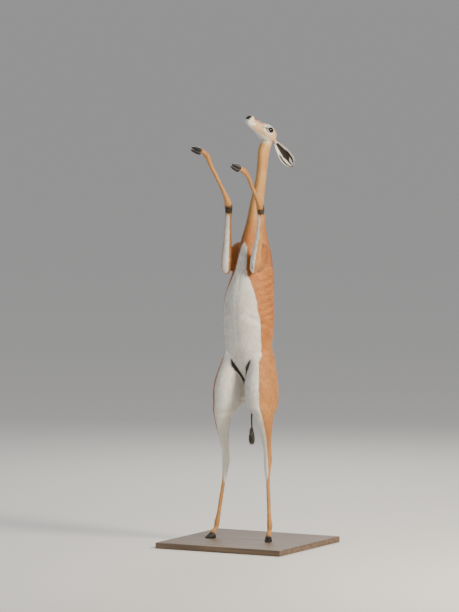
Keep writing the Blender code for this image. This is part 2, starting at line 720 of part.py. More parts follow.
def build_ear(side):
    """The cup of an ear: a leaf-shaped bowl with a thin wall, on a short stalk.

    Half width along it is a power of the share of length times a power of what is left, and
    the bowl's depth across it falls with the square of the distance from its middle line.
    """
    sign = 1.0 if side == "left" else -1.0
    buff = material("hide_buff", HIDE_BUFF, 0.8)
    along, opening, across = (np.array(axis) for axis in ear_ways(sign))
    base = np.array(head_place(EAR_ALONG, sign * EAR_OUT, EAR_UP))
    share = np.linspace(0.0, 1.0, 12)
    half = EAR_HALF_WIDTH * 1.70 * (share * 0.94 + 0.06) ** 0.80 * (1.0 - share ** 3.0) ** 0.75
    half += 0.0010
    deep = 0.62 * half * (1.0 - 0.45 * share)
    reach = np.linspace(-1.0, 1.0, 9)
    wall = EAR_THICKNESS * (1.0 - 0.35 * share)[:, None] * (1.0 - 0.45 * reach ** 2)[None, :]
    hollow = deep[:, None] * (1.0 - reach ** 2)[None, :]
    sweep = 0.010 * np.sin(math.pi * share)
    spine = base + along * (EAR_LENGTH * share)[:, None] - opening * sweep[:, None]
    edge = across * (half[:, None] * reach[None, :])[:, :, None]
    inner = spine[:, None, :] + edge - opening * hollow[:, :, None]
    outer = inner - opening * wall[:, :, None]
    rings = np.concatenate([inner, outer[:, ::-1]], axis=1)
    ear = skin_rings(f"ear_{side}", rings, buff)
    root = Vector(base) - Vector(along) * 0.010 - Vector(opening) * 0.004
    axes = (Vector(along), Vector(opening), Vector(across))
    combine(ear, ball("stalk", root, (0.027, 0.0100, 0.0105), axes, buff), "UNION")
    cutter = skin_rings("head_cutter", head_rings(HEAD_RINGS, HEAD_SIDES, grow=GAP), buff)
    combine(ear, cutter, "DIFFERENCE")
    combine(ear, trunk("nape_cutter", NAPE_HEIGHTS, buff, GAP), "DIFFERENCE")


# Tail

def build_tail():
    """The thin tail, and its black tuft of overlapping locks that ends in a point."""
    tan = material("hide_tan", HIDE_TAN, 0.8)
    black = material("tuft_black", HIDE_DARK, 0.9)
    tail = flesh("tail", TAIL, 0, len(TAIL) - 1, 0.022, 10, False, BACKWARD, tan)
    combine(tail, grown_trunk(), "DIFFERENCE")
    end = place(TAIL[-1][:3])
    down = (end - place(TAIL[-2][:3])).normalized()
    top = end + down * GAP
    side = down.orthogonal().normalized()
    other = down.cross(side)
    rings = []
    for along, wide in TUFT_CORE:
        turns = np.linspace(0.0, 2.0 * math.pi, 10, endpoint=False)
        rings.append([tuple(top + down * along
                            + (side * math.cos(turn) + other * math.sin(turn)) * wide)
                      for turn in turns])
    tuft = skin_rings("tail_tuft", np.array(rings), black)
    draw = random.Random(3)
    locks = []
    for number in range(TUFT_LOCKS):
        turn = number * math.radians(137.5)
        along = 0.008 + 0.046 * number / TUFT_LOCKS
        outward = (side * math.cos(turn) + other * math.sin(turn)).normalized()
        root = top + down * along + outward * 0.0060
        lie = (down + outward * (0.22 - 0.30 * number / TUFT_LOCKS)).normalized()
        across = lie.cross(outward).normalized()
        length = min(0.034 + 0.008 * draw.random(), TUFT_LENGTH - along)
        locks.append(lock(f"lock_{number}", root, lie, across, length, TUFT_LOCK_WIDTH, black))
    join_all(tuft, locks)


# Base

def build_base():
    """The flat display base, a board with softened edges."""
    mesh = bpy.data.meshes.new("stand_base")
    work = bmesh.new()
    bmesh.ops.create_cube(work, size=1.0)
    bmesh.ops.scale(work, vec=(BASE_WIDTH, BASE_DEPTH, BASE_HEIGHT), verts=work.verts)
    bmesh.ops.translate(work, verts=work.verts, vec=(0.0, 0.0, BASE_HEIGHT / 2))
    bmesh.ops.bevel(work, geom=list(work.edges), offset=BASE_EDGE, segments=2, affect="EDGES",
                    profile=0.5)
    work.to_mesh(mesh)
    work.free()
    thing = bpy.data.objects.new("stand_base", mesh)
    thing.data.materials.append(material("base_wood", BASE_WOOD, 0.5))
    bpy.context.scene.collection.objects.link(thing)


for old in list(bpy.data.objects):
    bpy.data.objects.remove(old)

build_base()
build_trunk()
build_head()
build_tail()
for leg_side in ("left", "right"):
    build_hind_leg(leg_side)
    build_foreleg(leg_side)
    build_ear(leg_side)
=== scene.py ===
"""A female gerenuk reared on its hind legs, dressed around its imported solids."""

import math

import bmesh
import bpy
import numpy as np
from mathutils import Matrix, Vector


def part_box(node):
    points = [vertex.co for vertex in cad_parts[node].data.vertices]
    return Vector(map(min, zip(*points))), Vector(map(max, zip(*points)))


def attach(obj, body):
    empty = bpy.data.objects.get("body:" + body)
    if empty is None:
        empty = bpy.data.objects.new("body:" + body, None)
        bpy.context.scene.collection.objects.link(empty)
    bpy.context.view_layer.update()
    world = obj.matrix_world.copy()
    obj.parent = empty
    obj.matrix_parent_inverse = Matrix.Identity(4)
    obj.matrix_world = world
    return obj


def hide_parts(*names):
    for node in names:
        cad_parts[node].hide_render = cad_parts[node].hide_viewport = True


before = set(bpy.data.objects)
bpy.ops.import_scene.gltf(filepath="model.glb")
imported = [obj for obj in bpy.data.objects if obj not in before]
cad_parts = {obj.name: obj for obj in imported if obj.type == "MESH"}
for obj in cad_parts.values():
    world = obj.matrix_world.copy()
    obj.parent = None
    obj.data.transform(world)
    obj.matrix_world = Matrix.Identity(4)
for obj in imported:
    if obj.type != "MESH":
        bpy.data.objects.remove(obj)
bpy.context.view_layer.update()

# The display base.
# A plain board of stained oak with softened edges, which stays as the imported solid.
# Its grain runs along its width, with fine pores under a thin varnish.

BASE_TOP = float(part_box("stand_base")[1][2])


class Finish:
    """A material with one Principled shader, and short ways to add nodes to it."""

    def __init__(self, name, roughness, **set_values):
        self.material = bpy.data.materials.new(name)
        self.material.use_nodes = True
        self.tree = self.material.node_tree
        self.shader = self.tree.nodes["Principled BSDF"]
        for name, value in (("Roughness", roughness), *set_values.items()):
            self.feed(self.shader.inputs[name.replace("_", " ")], value)

    def feed(self, socket, source):
        """Set a socket to a value, or link it to another socket."""
        if isinstance(source, bpy.types.NodeSocket):
            self.tree.links.new(source, socket)
        else:
            socket.default_value = source

    def node(self, kind, output, settings=(), **sources):
        """A node with its settings and with its sockets fed; gives one output."""
        made = self.tree.nodes.new("ShaderNode" + kind)
        for name, value in dict(settings).items():
            setattr(made, name, value)
        for name, source in sources.items():
            self.feed(made.inputs[name.replace("_", " ")], source)
        return made.outputs[output]

    def attribute(self, name, output):
        """What the mesh keeps under a name."""
        return self.node("Attribute", output, {"attribute_name": name})

    def noise(self, scale, detail, stretch=(1.0, 1.0, 1.0)):
        """Noise on Object coordinates, stretched along the axes."""
        spot = self.node("TexCoord", "Object")
        turned = self.node("Mapping", "Vector", Vector=spot, Scale=stretch)
        return self.node("TexNoise", "Fac", Vector=turned, Scale=scale, Detail=detail)

    def ramp(self, source, *stops):
        """A colour ramp over a value, from (place, colour) stops."""
        colours = self.node("ValToRGB", "Color", Fac=source)
        band = colours.node.color_ramp
        while len(band.elements) < len(stops):
            band.elements.new(0.5)
        for element, (spot, colour) in zip(band.elements, stops):
            element.position = spot
            element.color = (*colour, 1.0)
        return colours

    def colour(self, source):
        """Give the shader its colour."""
        self.feed(self.shader.inputs["Base Color"], source)

    def bump(self, height, strength, distance):
        """Give the shader's normal the bumps of a height."""
        raised = self.node("Bump", "Normal", Height=height, Strength=strength, Distance=distance)
        self.feed(self.shader.inputs["Normal"], raised)


def oak_board():
    """Stained oak: long stretched noise for the grain, finer streaks for the pores."""
    oak = Finish("stained_oak", 0.42)
    grain = oak.noise(9.0, 6.0, (0.35, 5.0, 5.0))
    pores = oak.noise(60.0, 4.0, (0.12, 3.0, 3.0))
    oak.colour(oak.ramp(grain, (0.30, (0.060, 0.034, 0.018)), (0.52, (0.125, 0.075, 0.040)),
                        (0.72, (0.185, 0.118, 0.068))))
    oak.bump(pores, 0.25, 0.0008)
    return oak.material


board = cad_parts["stand_base"]
board.data.materials.clear()
board.data.materials.append(oak_board())

# The flesh under the coat.
# Trunk, neck, head, ears and legs are one hide on a real animal, so they become one skin here.
# Runs of oval sections follow the joints and are merged; the coat's depth is left outside them.

COAT_DEPTH = 0.0022
RUN_SIDES = 64
FINE_VOXEL = 0.0019
BROAD_VOXEL = 0.0058
NECK_SEAM = 1.845
NECK_REACH = 0.08

# Stations: x, forward, height, half width, reach to the front and back, widening to the front
TRUNK = np.array([
    (0.000, 0.000, 0.720, 0.030, 0.010, 0.060, 0.0),
    (0.000, 0.000, 0.760, 0.058, 0.012, 0.098, 0.0),
    (0.000, 0.000, 0.810, 0.080, 0.020, 0.118, 0.0),
    (0.000, 0.000, 0.870, 0.100, 0.064, 0.127, 0.0),
    (0.000, -0.010, 0.945, 0.1165, 0.106, 0.120, 0.04),
    (0.000, -0.014, 1.020, 0.1225, 0.127, 0.127, 0.06),
    (0.000, -0.016, 1.105, 0.1240, 0.144, 0.140, 0.06),
    (0.000, -0.020, 1.230, 0.1170, 0.145, 0.142, 0.02),
    (0.000, -0.038, 1.315, 0.1010, 0.138, 0.140, -0.08),
    (0.000, -0.048, 1.375, 0.0870, 0.132, 0.134, -0.14),
    (0.000, -0.053, 1.425, 0.0750, 0.121, 0.124, -0.18),
    (0.000, -0.058, 1.500, 0.0580, 0.096, 0.100, -0.16),
    (0.006, -0.068, 1.600, 0.0430, 0.066, 0.068, -0.10),
    (0.010, -0.075, 1.690, 0.0325, 0.047, 0.048, -0.06),
    (0.018, -0.085, 1.760, 0.0285, 0.037, 0.039, -0.04),
    (0.025, -0.095, 1.835, 0.0260, 0.033, 0.035, -0.04),
    (0.029, -0.102, 1.900, 0.0262, 0.035, 0.038, -0.04),
    (0.034, -0.107, 1.955, 0.0280, 0.042, 0.041, -0.04),
    (0.043, -0.122, 1.995, 0.0285, 0.040, 0.033, 0.0),
])
HIND_OUTWARD = {
    "right": (0.056, 0.061, 0.083, 0.0935, 0.094, 0.095, 0.101, 0.108, 0.112, 0.119, 0.125,
              0.131, 0.137, 0.142, 0.145, 0.149, 0.162, 0.172, 0.176, 0.178),
    "left": (0.056, 0.061, 0.0745, 0.082, 0.089, 0.096, 0.105, 0.114, 0.119, 0.120, 0.117,
             0.109, 0.098, 0.093, 0.092, 0.095, 0.108, 0.119, 0.123, 0.125),
}
HIND_LEG = (
    (-0.014, 1.040, 0.056, 0.076, 0.086),
    (-0.010, 0.960, 0.056, 0.080, 0.092),
    (-0.006, 0.880, 0.060, 0.096, 0.104),
    (0.008, 0.795, 0.073, 0.110, 0.110),
    (0.018, 0.730, 0.075, 0.110, 0.114),
    (0.034, 0.690, 0.069, 0.092, 0.122),
    (0.045, 0.666, 0.060, 0.079, 0.110),
    (0.053, 0.645, 0.049, 0.067, 0.086),
    (0.055, 0.620, 0.041, 0.057, 0.066),
    (0.048, 0.590, 0.034, 0.046, 0.057),
    (0.034, 0.550, 0.0275, 0.036, 0.049),
    (0.012, 0.500, 0.0205, 0.026, 0.042),
    (-0.018, 0.435, 0.0165, 0.021, 0.041),
    (-0.032, 0.400, 0.0180, 0.022, 0.041),
    (-0.036, 0.365, 0.0165, 0.020, 0.024),
    (-0.033, 0.320, 0.0120, 0.015, 0.015),
    (-0.018, 0.200, 0.0105, 0.0125, 0.0125),
    (-0.004, 0.105, 0.0120, 0.0135, 0.0145),
    (0.000, 0.078, 0.0145, 0.0150, 0.0175),
    (0.006, 0.052, 0.0130, 0.0130, 0.0150),
)
TOE_OUT = {"right": 26.0, "left": 14.0}
FORE_PATH = {
    "right": ((-0.079, 0.084, 1.338), (-0.079, 0.083, 1.356), (-0.079, 0.082, 1.395),
              (-0.076, 0.082, 1.450), (-0.072, 0.083, 1.510), (-0.067, 0.086, 1.590),
              (-0.063, 0.089, 1.640), (-0.062, 0.091, 1.675), (-0.066, 0.095, 1.705),
              (-0.078, 0.106, 1.745), (-0.110, 0.136, 1.835), (-0.133, 0.158, 1.900),
              (-0.141, 0.167, 1.930), (-0.157, 0.185, 1.953)),
    "left": ((0.078, 0.082, 1.344), (0.078, 0.081, 1.362), (0.082, 0.080, 1.404),
             (0.091, 0.081, 1.454), (0.103, 0.083, 1.510), (0.115, 0.089, 1.590),
             (0.121, 0.095, 1.640), (0.125, 0.106, 1.676), (0.128, 0.126, 1.702),
             (0.132, 0.157, 1.731), (0.143, 0.240, 1.805), (0.151, 0.292, 1.852),
             (0.150, 0.315, 1.869), (0.143, 0.345, 1.885)),
}
FORE_SECTIONS = (
    (0.011, 0.013, 0.012), (0.020, 0.026, 0.023), (0.024, 0.033, 0.028), (0.022, 0.031, 0.026),
    (0.0190, 0.025, 0.021), (0.0160, 0.0185, 0.0175), (0.0165, 0.0185, 0.017),
    (0.0195, 0.0215, 0.019), (0.0165, 0.0175, 0.018), (0.0120, 0.0130, 0.0135),
    (0.0108, 0.0120, 0.0125), (0.0120, 0.0130, 0.0140), (0.0145, 0.0150, 0.0175),
    (0.0130, 0.0130, 0.0150),
)
KNEE = 7
FORE_TIP = {"right": (-0.207, 0.226, 1.975), "left": (0.112, 0.392, 1.912)}
UPPER_ARM = (
    (0.034, -0.060, 1.455, 0.030, 0.050, 0.060),
    (0.058, -0.030, 1.440, 0.036, 0.055, 0.066),
    (0.073, 0.008, 1.415, 0.034, 0.050, 0.060),
    (0.080, 0.045, 1.392, 0.026, 0.036, 0.042),
    (0.080, 0.076, 1.380, 0.0175, 0.021, 0.024),
)


def between(keys, values, wanted):
    """Cubic pieces through every station, the slope there the weighted mean of both sides."""
    keys, values = np.asarray(keys, float), np.asarray(values, float)
    wanted = np.clip(np.asarray(wanted, float), keys[0], keys[-1])
    step = np.diff(keys)[:, None]
    rise = np.diff(values, axis=0) / step
    slope = np.empty_like(values)
    slope[1:-1] = (step[1:] * rise[:-1] + step[:-1] * rise[1:]) / (step[1:] + step[:-1])
    slope[0], slope[-1] = rise[0], rise[-1]
    piece = np.clip(np.searchsorted(keys, wanted, side="right") - 1, 0, len(keys) - 2)
    width = step[piece]
    part = (wanted - keys[piece])[:, None] / width
    near = (1 + 2 * part) * (1 - part) ** 2
    far = part ** 2 * (3 - 2 * part)
    return (near * values[piece] + far * values[piece + 1]
            + part * (1 - part) ** 2 * width * slope[piece]
            - part ** 2 * (1 - part) * width * slope[piece + 1])


FLIP = (1.0, -1.0, 1.0)
STATION_STEP = 0.004
SEARCH_BATCH = 20000
END_PLAY = 0.012
END_FADE = 0.02


def to_world(points):
    """From (x, forward, height over the base's top) to world coordinates."""
    return np.asarray(points, float) * FLIP + (0.0, 0.0, BASE_TOP)


def height_of(points):
    """Heights over the base's top."""
    return points[:, 2] - BASE_TOP


def unit(way):
    """A direction at length one, or rows of them."""
    way = np.asarray(way, float)
    return way / np.maximum(np.linalg.norm(way, axis=-1, keepdims=True), 1e-6)


def sign_of(name):
    """One for what is on the animal's left, minus one for its right."""
    return 1.0 if name.endswith("left") else -1.0


class Run:
    """One run of flesh: oval sections along a smooth path through the joints."""

    def __init__(self, stations, level, front):
        self.stations = np.asarray(stations, float)
        hops = np.linalg.norm(np.diff(self.stations[:, :3], axis=0), axis=1)
        self.keys = np.concatenate([[0.0], np.cumsum(hops)])
        self.wanted = np.arange(0.0, self.keys[-1], STATION_STEP)
        self.values = between(self.keys, self.stations, self.wanted)
        axis = np.gradient(self.values[:, :3], axis=0)
        if level:
            axis = np.tile((0.0, 0.0, 1.0), (len(axis), 1))
        self.axis = unit(axis)
        lead = np.tile(np.asarray(front, float), (len(axis), 1))
        self.front = unit(lead - self.axis * (self.axis * lead).sum(1)[:, None])
        self.side = np.cross(self.front, self.axis)
        self.level = level

    def rings(self, sides, grow):
        """Rings: width times cosine along the side, reach times sine along the front."""
        turn = np.linspace(0.0, 2.0 * math.pi, sides, endpoint=False)
        cosine, sine = np.cos(turn)[None, :], np.sin(turn)[None, :]
        reach = np.where(sine > 0, self.values[:, 4:5], self.values[:, 5:6]) + grow
        width = (self.values[:, 3:4] + grow) * (1 + self.values[:, 6:7] * sine)
        points = (self.values[:, None, :3]
                  + self.side[:, None] * (width * cosine)[:, :, None]
                  + self.front[:, None] * (reach * sine)[:, :, None])
        return to_world(points)

    def locate(self, points):
        """Where points lie in the run: row, side and front shares, and distance share."""
        local = (points - (0.0, 0.0, BASE_TOP)) * FLIP
        if self.level:
            heights = self.values[:, 2]
            order = np.argsort(heights)
            row = order[np.clip(np.searchsorted(heights[order], local[:, 2]), 0, len(order) - 1)]
        else:
            row = np.empty(len(local), int)
            for start in range(0, len(local), SEARCH_BATCH):
                part = local[start:start + SEARCH_BATCH]
                gap = ((part[:, None] - self.values[None, :, :3]) ** 2).sum(2)
                row[start:start + SEARCH_BATCH] = gap.argmin(1)
        offset = local - self.values[row, :3]
        over = np.abs((offset * self.axis[row]).sum(1))
        front = (offset * self.front[row]).sum(1)
        reach = np.where(front > 0, self.values[row, 4], self.values[row, 5])
        front = front / reach
        side = (offset * self.side[row]).sum(1) / self.values[row, 3]
        away = np.sqrt(front ** 2 + side ** 2)
        away += np.where(over > END_PLAY, (over - END_PLAY) / END_FADE, 0.0)
        return row, side, front, away

    def covers(self, height, play=0.01):
        """Whether heights lie between the run's ends, give or take a little."""
        return ((height > self.values[:, 2].min() - play)
                & (height < self.values[:, 2].max() + play))


def mesh_object(name, corners, faces):
    """A smooth-shaded mesh object at the origin from arrays of corners and faces."""
    mesh = bpy.data.meshes.new(name)
    mesh.from_pydata(np.asarray(corners, float).reshape(-1, 3), [],
                     faces.tolist() if hasattr(faces, "tolist") else faces)
    mesh.shade_smooth()
    made = bpy.data.objects.new(name, mesh)
    bpy.context.scene.collection.objects.link(made)
    return made


def ring_faces(rows, sides):
    """Quads between neighbouring rings of a grid, and a flat face over each end."""
    row, column = np.meshgrid(np.arange(rows - 1), np.arange(sides), indexing="ij")
    after = (column + 1) % sides
    quads = np.stack([row * sides + column, row * sides + after,
                      (row + 1) * sides + after, (row + 1) * sides + column], axis=-1)
    ends = [list(range(sides)), list(range((rows - 1) * sides, rows * sides))]
    return quads.reshape(-1, 4).tolist() + ends


def closed_form(name, rings):
    """A closed body from a grid of rings, its faces turned outwards."""
    made = mesh_object(name, rings, ring_faces(*rings.shape[:2]))
    work = bmesh.new()
    work.from_mesh(made.data)
    bmesh.ops.recalc_face_normals(work, faces=work.faces)
    work.to_mesh(made.data)
    work.free()
    return made


def worked(made):
    """Apply the object's modifiers to its mesh."""
    graph = bpy.context.evaluated_depsgraph_get()
    mesh = bpy.data.meshes.new_from_object(made.evaluated_get(graph))
    made.modifiers.clear()
    made.data = mesh


def corners_of(mesh):
    """The mesh's corners as an array."""
    spots = np.empty(len(mesh.vertices) * 3)
    mesh.vertices.foreach_get("co", spots)
    return spots.reshape(-1, 3)


def normals_of(mesh):
    """The directions in which the surface faces at its corners."""
    ways = np.empty(len(mesh.vertices) * 3)
    mesh.vertices.foreach_get("normal", ways)
    return ways.reshape(-1, 3)


def set_corners(mesh, spots):
    """Put the mesh's corners where the array says."""
    mesh.vertices.foreach_set("co", spots.ravel())
    mesh.update()


def merged(name, forms, voxel):
    """Several closed forms as one even surface of small quads."""
    corners, faces, start = [], [], 0
    for form in forms:
        corners.append(corners_of(form.data))
        faces += [[corner + start for corner in face.vertices] for face in form.data.polygons]
        start += len(corners[-1])
        bpy.data.objects.remove(form)
    whole = mesh_object(name, np.concatenate(corners), faces)
    step = whole.modifiers.new("merge", "REMESH")
    step.mode = "VOXEL"
    step.voxel_size = voxel
    step.use_smooth_shade = True
    worked(whole)
    return whole


def hind_run(side):
    """One hind leg from inside the hip to the top of its hoof."""
    sign = sign_of(side)
    rows = [(sign * out, forward, height, wide, front, back, 0.0)
            for out, (forward, height, wide, front, back) in zip(HIND_OUTWARD[side], HIND_LEG)]
    turn = math.radians(TOE_OUT[side])
    toe = np.array((sign * math.sin(turn), math.cos(turn)))
    ankle = np.array(rows[-1][:2])
    for reach, height, wide, front, back in ((0.020, 0.034, 0.0155, 0.012, 0.014),
                                             (0.025, 0.024, 0.0158, 0.010, 0.013)):
        spot = ankle + toe * reach
        rows.append((spot[0], spot[1], height, wide, front, back, 0.0))
    return Run(rows, True, (0.0, 1.0, 0.0))


def fore_run(side):
    """One raised foreleg from the point of the elbow to the top of its hoof."""
    rows = [(*spot, *section, 0.0) for spot, section in zip(FORE_PATH[side], FORE_SECTIONS)]
    end = np.array(rows[-1][:3])
    toe = unit(np.array(FORE_TIP[side]) - end)
    for reach, wide, front, back in ((0.014, 0.0148, 0.012, 0.014), (0.022, 0.0150, 0.011, 0.013)):
        rows.append((*(end + toe * reach), wide, front, back, 0.0))
    return Run(rows, False, (0.0, -1.0, 0.0))


def arm_run(side):
    """The upper arm from the shoulder blade to the elbow."""
    sign = sign_of(side)
    return Run([(sign * out, *row, 0.0) for out, *row in UPPER_ARM], False, (0.0, 0.0, 1.0))


RUNS = {"trunk": Run(TRUNK, True, (0.0, 1.0, 0.0))}
for side in ("left", "right"):
    RUNS["hind_" + side] = hind_run(side)
    RUNS["fore_" + side] = fore_run(side)
    RUNS["arm_" + side] = arm_run(side)

# The head.
# A long narrow wedge with high eyes: a bony brow, flat cheeks, a thin muzzle and soft lips.
# It is worked out along its own three directions, then merged with the top of the neck.

HEAD_LENGTH = 0.208
HEAD_BACK = to_world((0.0631, -0.1729, 2.0012))
HEAD_AHEAD = unit((-0.367, -0.754, 0.545))
HEAD_ABOVE = np.array((0.239, 0.490, 0.839))
HEAD_ABOVE = unit(HEAD_ABOVE - HEAD_AHEAD * (HEAD_ABOVE @ HEAD_AHEAD))
HEAD_LEFT = np.cross(HEAD_ABOVE, HEAD_AHEAD)
HEAD = np.array([
    (0.013, 0.012, 0.010, -0.018),
    (0.017, 0.023, 0.021, -0.027),
    (0.030, 0.033, 0.0320, -0.037),
    (0.052, 0.0395, 0.0390, -0.0450),
    (0.078, 0.0400, 0.0400, -0.0430),
    (0.098, 0.0350, 0.0340, -0.0385),
    (0.122, 0.0265, 0.0280, -0.0335),
    (0.148, 0.0220, 0.0250, -0.0300),
    (0.172, 0.0205, 0.0250, -0.0290),
    (0.190, 0.0200, 0.0245, -0.0270),
    (0.201, 0.0175, 0.0195, -0.0220),
    (0.206, 0.0120, 0.0130, -0.0140),
    (0.208, 0.0050, 0.0050, -0.0050),
])
EYE_RADIUS = 0.0150
EYE_SPOT = (0.080, 0.0340, 0.0105)
HAIR_ON_FACE = 0.0008
HEAD_FROM = 1.93
HEAD_REACH = 0.24


def head_world(along, left, up):
    """A place on the head, in world coordinates."""
    along, left, up = np.broadcast_arrays(along, left, up)
    return (HEAD_BACK + HEAD_AHEAD * along[..., None] + HEAD_LEFT * left[..., None]
            + HEAD_ABOVE * up[..., None])


def head_local(points):
    """How far along, left and up on the head a world place lies."""
    offset = points - HEAD_BACK
    return offset @ HEAD_AHEAD, offset @ HEAD_LEFT, offset @ HEAD_ABOVE


def bell(value, middle, width):
    """A bell curve: one at the middle, falling off over the width."""
    return np.exp(-((value - middle) / width) ** 2)


def mouth_line(along):
    """How high the mouth's line lies on the head."""
    return -0.0045 - 0.10 * (HEAD_LENGTH - along)


def head_form():
    """Rings along the head, half width by cosine and height by sine with blunt powers."""
    along = np.linspace(HEAD[0, 0], HEAD_LENGTH, 150)
    wide, top, bottom = between(HEAD[:, 0], HEAD[:, 1:], along).T
    turn = np.linspace(0.0, 2.0 * math.pi, 96, endpoint=False)
    cosine = np.sign(np.cos(turn)) * np.abs(np.cos(turn)) ** 0.86
    sine = np.sign(np.sin(turn)) * np.abs(np.sin(turn)) ** 0.92
    tall = (top - bottom) / 2 - HAIR_ON_FACE
    lean = 1 - 0.10 * sine[None, :] * np.sin(along / HEAD_LENGTH * math.pi)[:, None]
    left = (wide - HAIR_ON_FACE)[:, None] * lean * cosine[None, :]
    up = ((top + bottom) / 2)[:, None] + tall[:, None] * sine[None, :]
    brow = bell(along, 0.082, 0.020)[:, None] * bell(up, 0.033, 0.012)
    cheek = bell(along, 0.112, 0.018)[:, None] * bell(up, -0.002, 0.012)
    left = left * (1 + 0.09 * brow) * (1 - 0.06 * cheek)
    return closed_form("head_form", head_world(along[:, None], left, up))


def egg(name, middle, radii, axes, turns=40, rows=24):
    """A closed egg shape: cosines and sines of two angles along three directions."""
    high = np.linspace(-math.pi / 2, math.pi / 2, rows)[:, None] * 0.9995
    turn = np.linspace(0.0, 2.0 * math.pi, turns, endpoint=False)[None, :]
    axes = [np.asarray(axis, float) for axis in axes]
    points = (middle + axes[0] * (radii[0] * np.cos(high) * np.cos(turn))[..., None]
              + axes[1] * (radii[1] * np.cos(high) * np.sin(turn))[..., None]
              + axes[2] * (radii[2] * np.sin(high) * np.ones_like(turn))[..., None])
    return closed_form(name, points)


def cut(whole, tool, operation="DIFFERENCE"):
    """Cut one closed form from another, or join it, and drop the tool."""
    step = whole.modifiers.new("cut", "BOOLEAN")
    step.operation = operation
    step.object = tool
    step.solver = "EXACT"
    worked(whole)
    bpy.data.objects.remove(tool)


def eye_middle(sign):
    """The middle of one eye, in world coordinates."""
    return head_world(EYE_SPOT[0], sign * EYE_SPOT[1], EYE_SPOT[2])


def eye_axes():
    """The slanted axes of an eye's opening: its corners lie along a line dipping to the nose."""
    long_way = unit(HEAD_AHEAD * 0.97 - HEAD_ABOVE * 0.24)
    return long_way, HEAD_LEFT, np.cross(long_way, HEAD_LEFT)


def open_eyes(whole):
    """Cut the sockets and the almond openings between the lids."""
    for sign in (1.0, -1.0):
        middle, axes = eye_middle(sign), eye_axes()
        socket = egg("socket", middle, (EYE_RADIUS + 0.0004,) * 3, axes)
        outside = middle + HEAD_LEFT * sign * EYE_RADIUS
        cut(socket, egg("opening", outside, (0.0150, 0.012, 0.0115), axes), "UNION")
        cut(whole, socket)


# The ears.
# Each is a long leaf-shaped cup of thin gristle under soft skin, laid back and opening outwards.
# Its wall thins to the rim, and its base narrows to a round stalk on the skull.

EAR_LENGTH = 0.152
EAR_HALF_WIDTH = 0.0325
EAR_WALL = 0.0032
EAR_BACK_OUT_DOWN = {1.0: (0.78, 0.43, 0.45), -1.0: (0.55, 0.78, 0.30)}


def ear_ways(sign):
    """Along an ear to its tip, the way its cup opens, and across it."""
    back, out, down = EAR_BACK_OUT_DOWN[sign]
    along = unit(HEAD_AHEAD * -back + HEAD_LEFT * (out * sign) - HEAD_ABOVE * down)
    opening = HEAD_AHEAD * 0.569 + HEAD_LEFT * (0.791 * sign) - HEAD_ABOVE * 0.233
    opening = unit(opening - along * (opening @ along))
    return along, opening, np.cross(along, opening)


def ear_base(sign):
    """The middle of an ear's foot on the skull."""
    return head_world(0.020, sign * 0.036, -0.022)


def ear_shape(share):
    """Half width and depth of the cup along the ear, from its foot to its tip."""
    half = EAR_HALF_WIDTH * 1.70 * (share * 0.94 + 0.06) ** 0.80 * (1 - share ** 3.0) ** 0.75
    half = half + 0.0010
    return half, 0.62 * half * (1 - 0.45 * share)


def ear_surface(sign, share, reach):
    """A point inside the cup: across by reach, sunk by one less the square of reach."""
    along, opening, across = ear_ways(sign)
    share, reach = np.broadcast_arrays(share, reach)
    half, deep = ear_shape(share)
    sweep = 0.010 * np.sin(math.pi * share) + deep * (1 - reach ** 2)
    return (ear_base(sign) + along * (EAR_LENGTH * share)[..., None]
            + across * (half * reach)[..., None] - opening * sweep[..., None])


def ear_form(sign):
    """The cup as a closed body: the inner surface, and the outer one a wall's thickness away."""
    opening = ear_ways(sign)[1]
    share = np.linspace(0.0, 1.0, 60)[:, None]
    reach = np.linspace(-1.0, 1.0, 41)[None, :]
    inner = ear_surface(sign, share, reach)
    wall = EAR_WALL * (1 - 0.25 * share) * (1 - 0.35 * reach ** 2)
    outer = inner - opening * wall[..., None]
    return closed_form("ear_form", np.concatenate([inner, outer[:, ::-1]], axis=1))


def ear_stalk(sign):
    """The short round stalk that carries the cup."""
    along, opening, across = ear_ways(sign)
    middle = ear_base(sign) - along * 0.010 - opening * 0.004
    return egg("stalk", middle, (0.026, 0.0092, 0.0098), (along, opening, across))


# The skin.
# The broad forms and the fine head are merged apart and joined round the neck in one surface.
# Folds where the legs leave the trunk are eased, and lips, mouth and nostrils are pressed in.


def broad_forms():
    """Trunk and neck, four legs and two upper arms, shrunk by the coat's depth."""
    forms = []
    for name, run in RUNS.items():
        depth = COAT_DEPTH if name == "trunk" or name.startswith("arm") else COAT_DEPTH * 0.5
        forms.append(closed_form(name + "_form", run.rings(RUN_SIDES, -depth)))
    return forms


def neck_faces(work, low, high):
    """The faces round the neck between two heights."""
    x, forward = between(TRUNK[:, 2], TRUNK[:, :2], [NECK_SEAM])[0]
    spots = [(face, face.calc_center_median()) for face in work.faces]
    return [face for face, spot in spots
            if low < spot.z < high and math.hypot(spot.x - x, spot.y + forward) < NECK_REACH]


SEAM_LEVEL = BASE_TOP + NECK_SEAM


def trim_at_seam(made, keep_above):
    """Cut the mesh level at the neck's seam and drop the part on the other side."""
    work = bmesh.new()
    work.from_mesh(made.data)
    low, high = (0.0, SEAM_LEVEL + 0.02) if keep_above else (SEAM_LEVEL - 0.02, SEAM_LEVEL + 0.5)
    faces = neck_faces(work, low, high)
    around = set(faces)
    for face in faces:
        around.update(face.edges)
        around.update(face.verts)
    bmesh.ops.bisect_plane(work, geom=list(around), plane_co=(0, 0, SEAM_LEVEL), plane_no=(0, 0, 1))
    sign = -1.0 if keep_above else 1.0
    chosen = [face for face in neck_faces(work, low - 0.02, high + 0.02)
              if (face.calc_center_median().z - SEAM_LEVEL) * sign > 0]
    bmesh.ops.delete(work, geom=chosen, context="FACES")
    return work


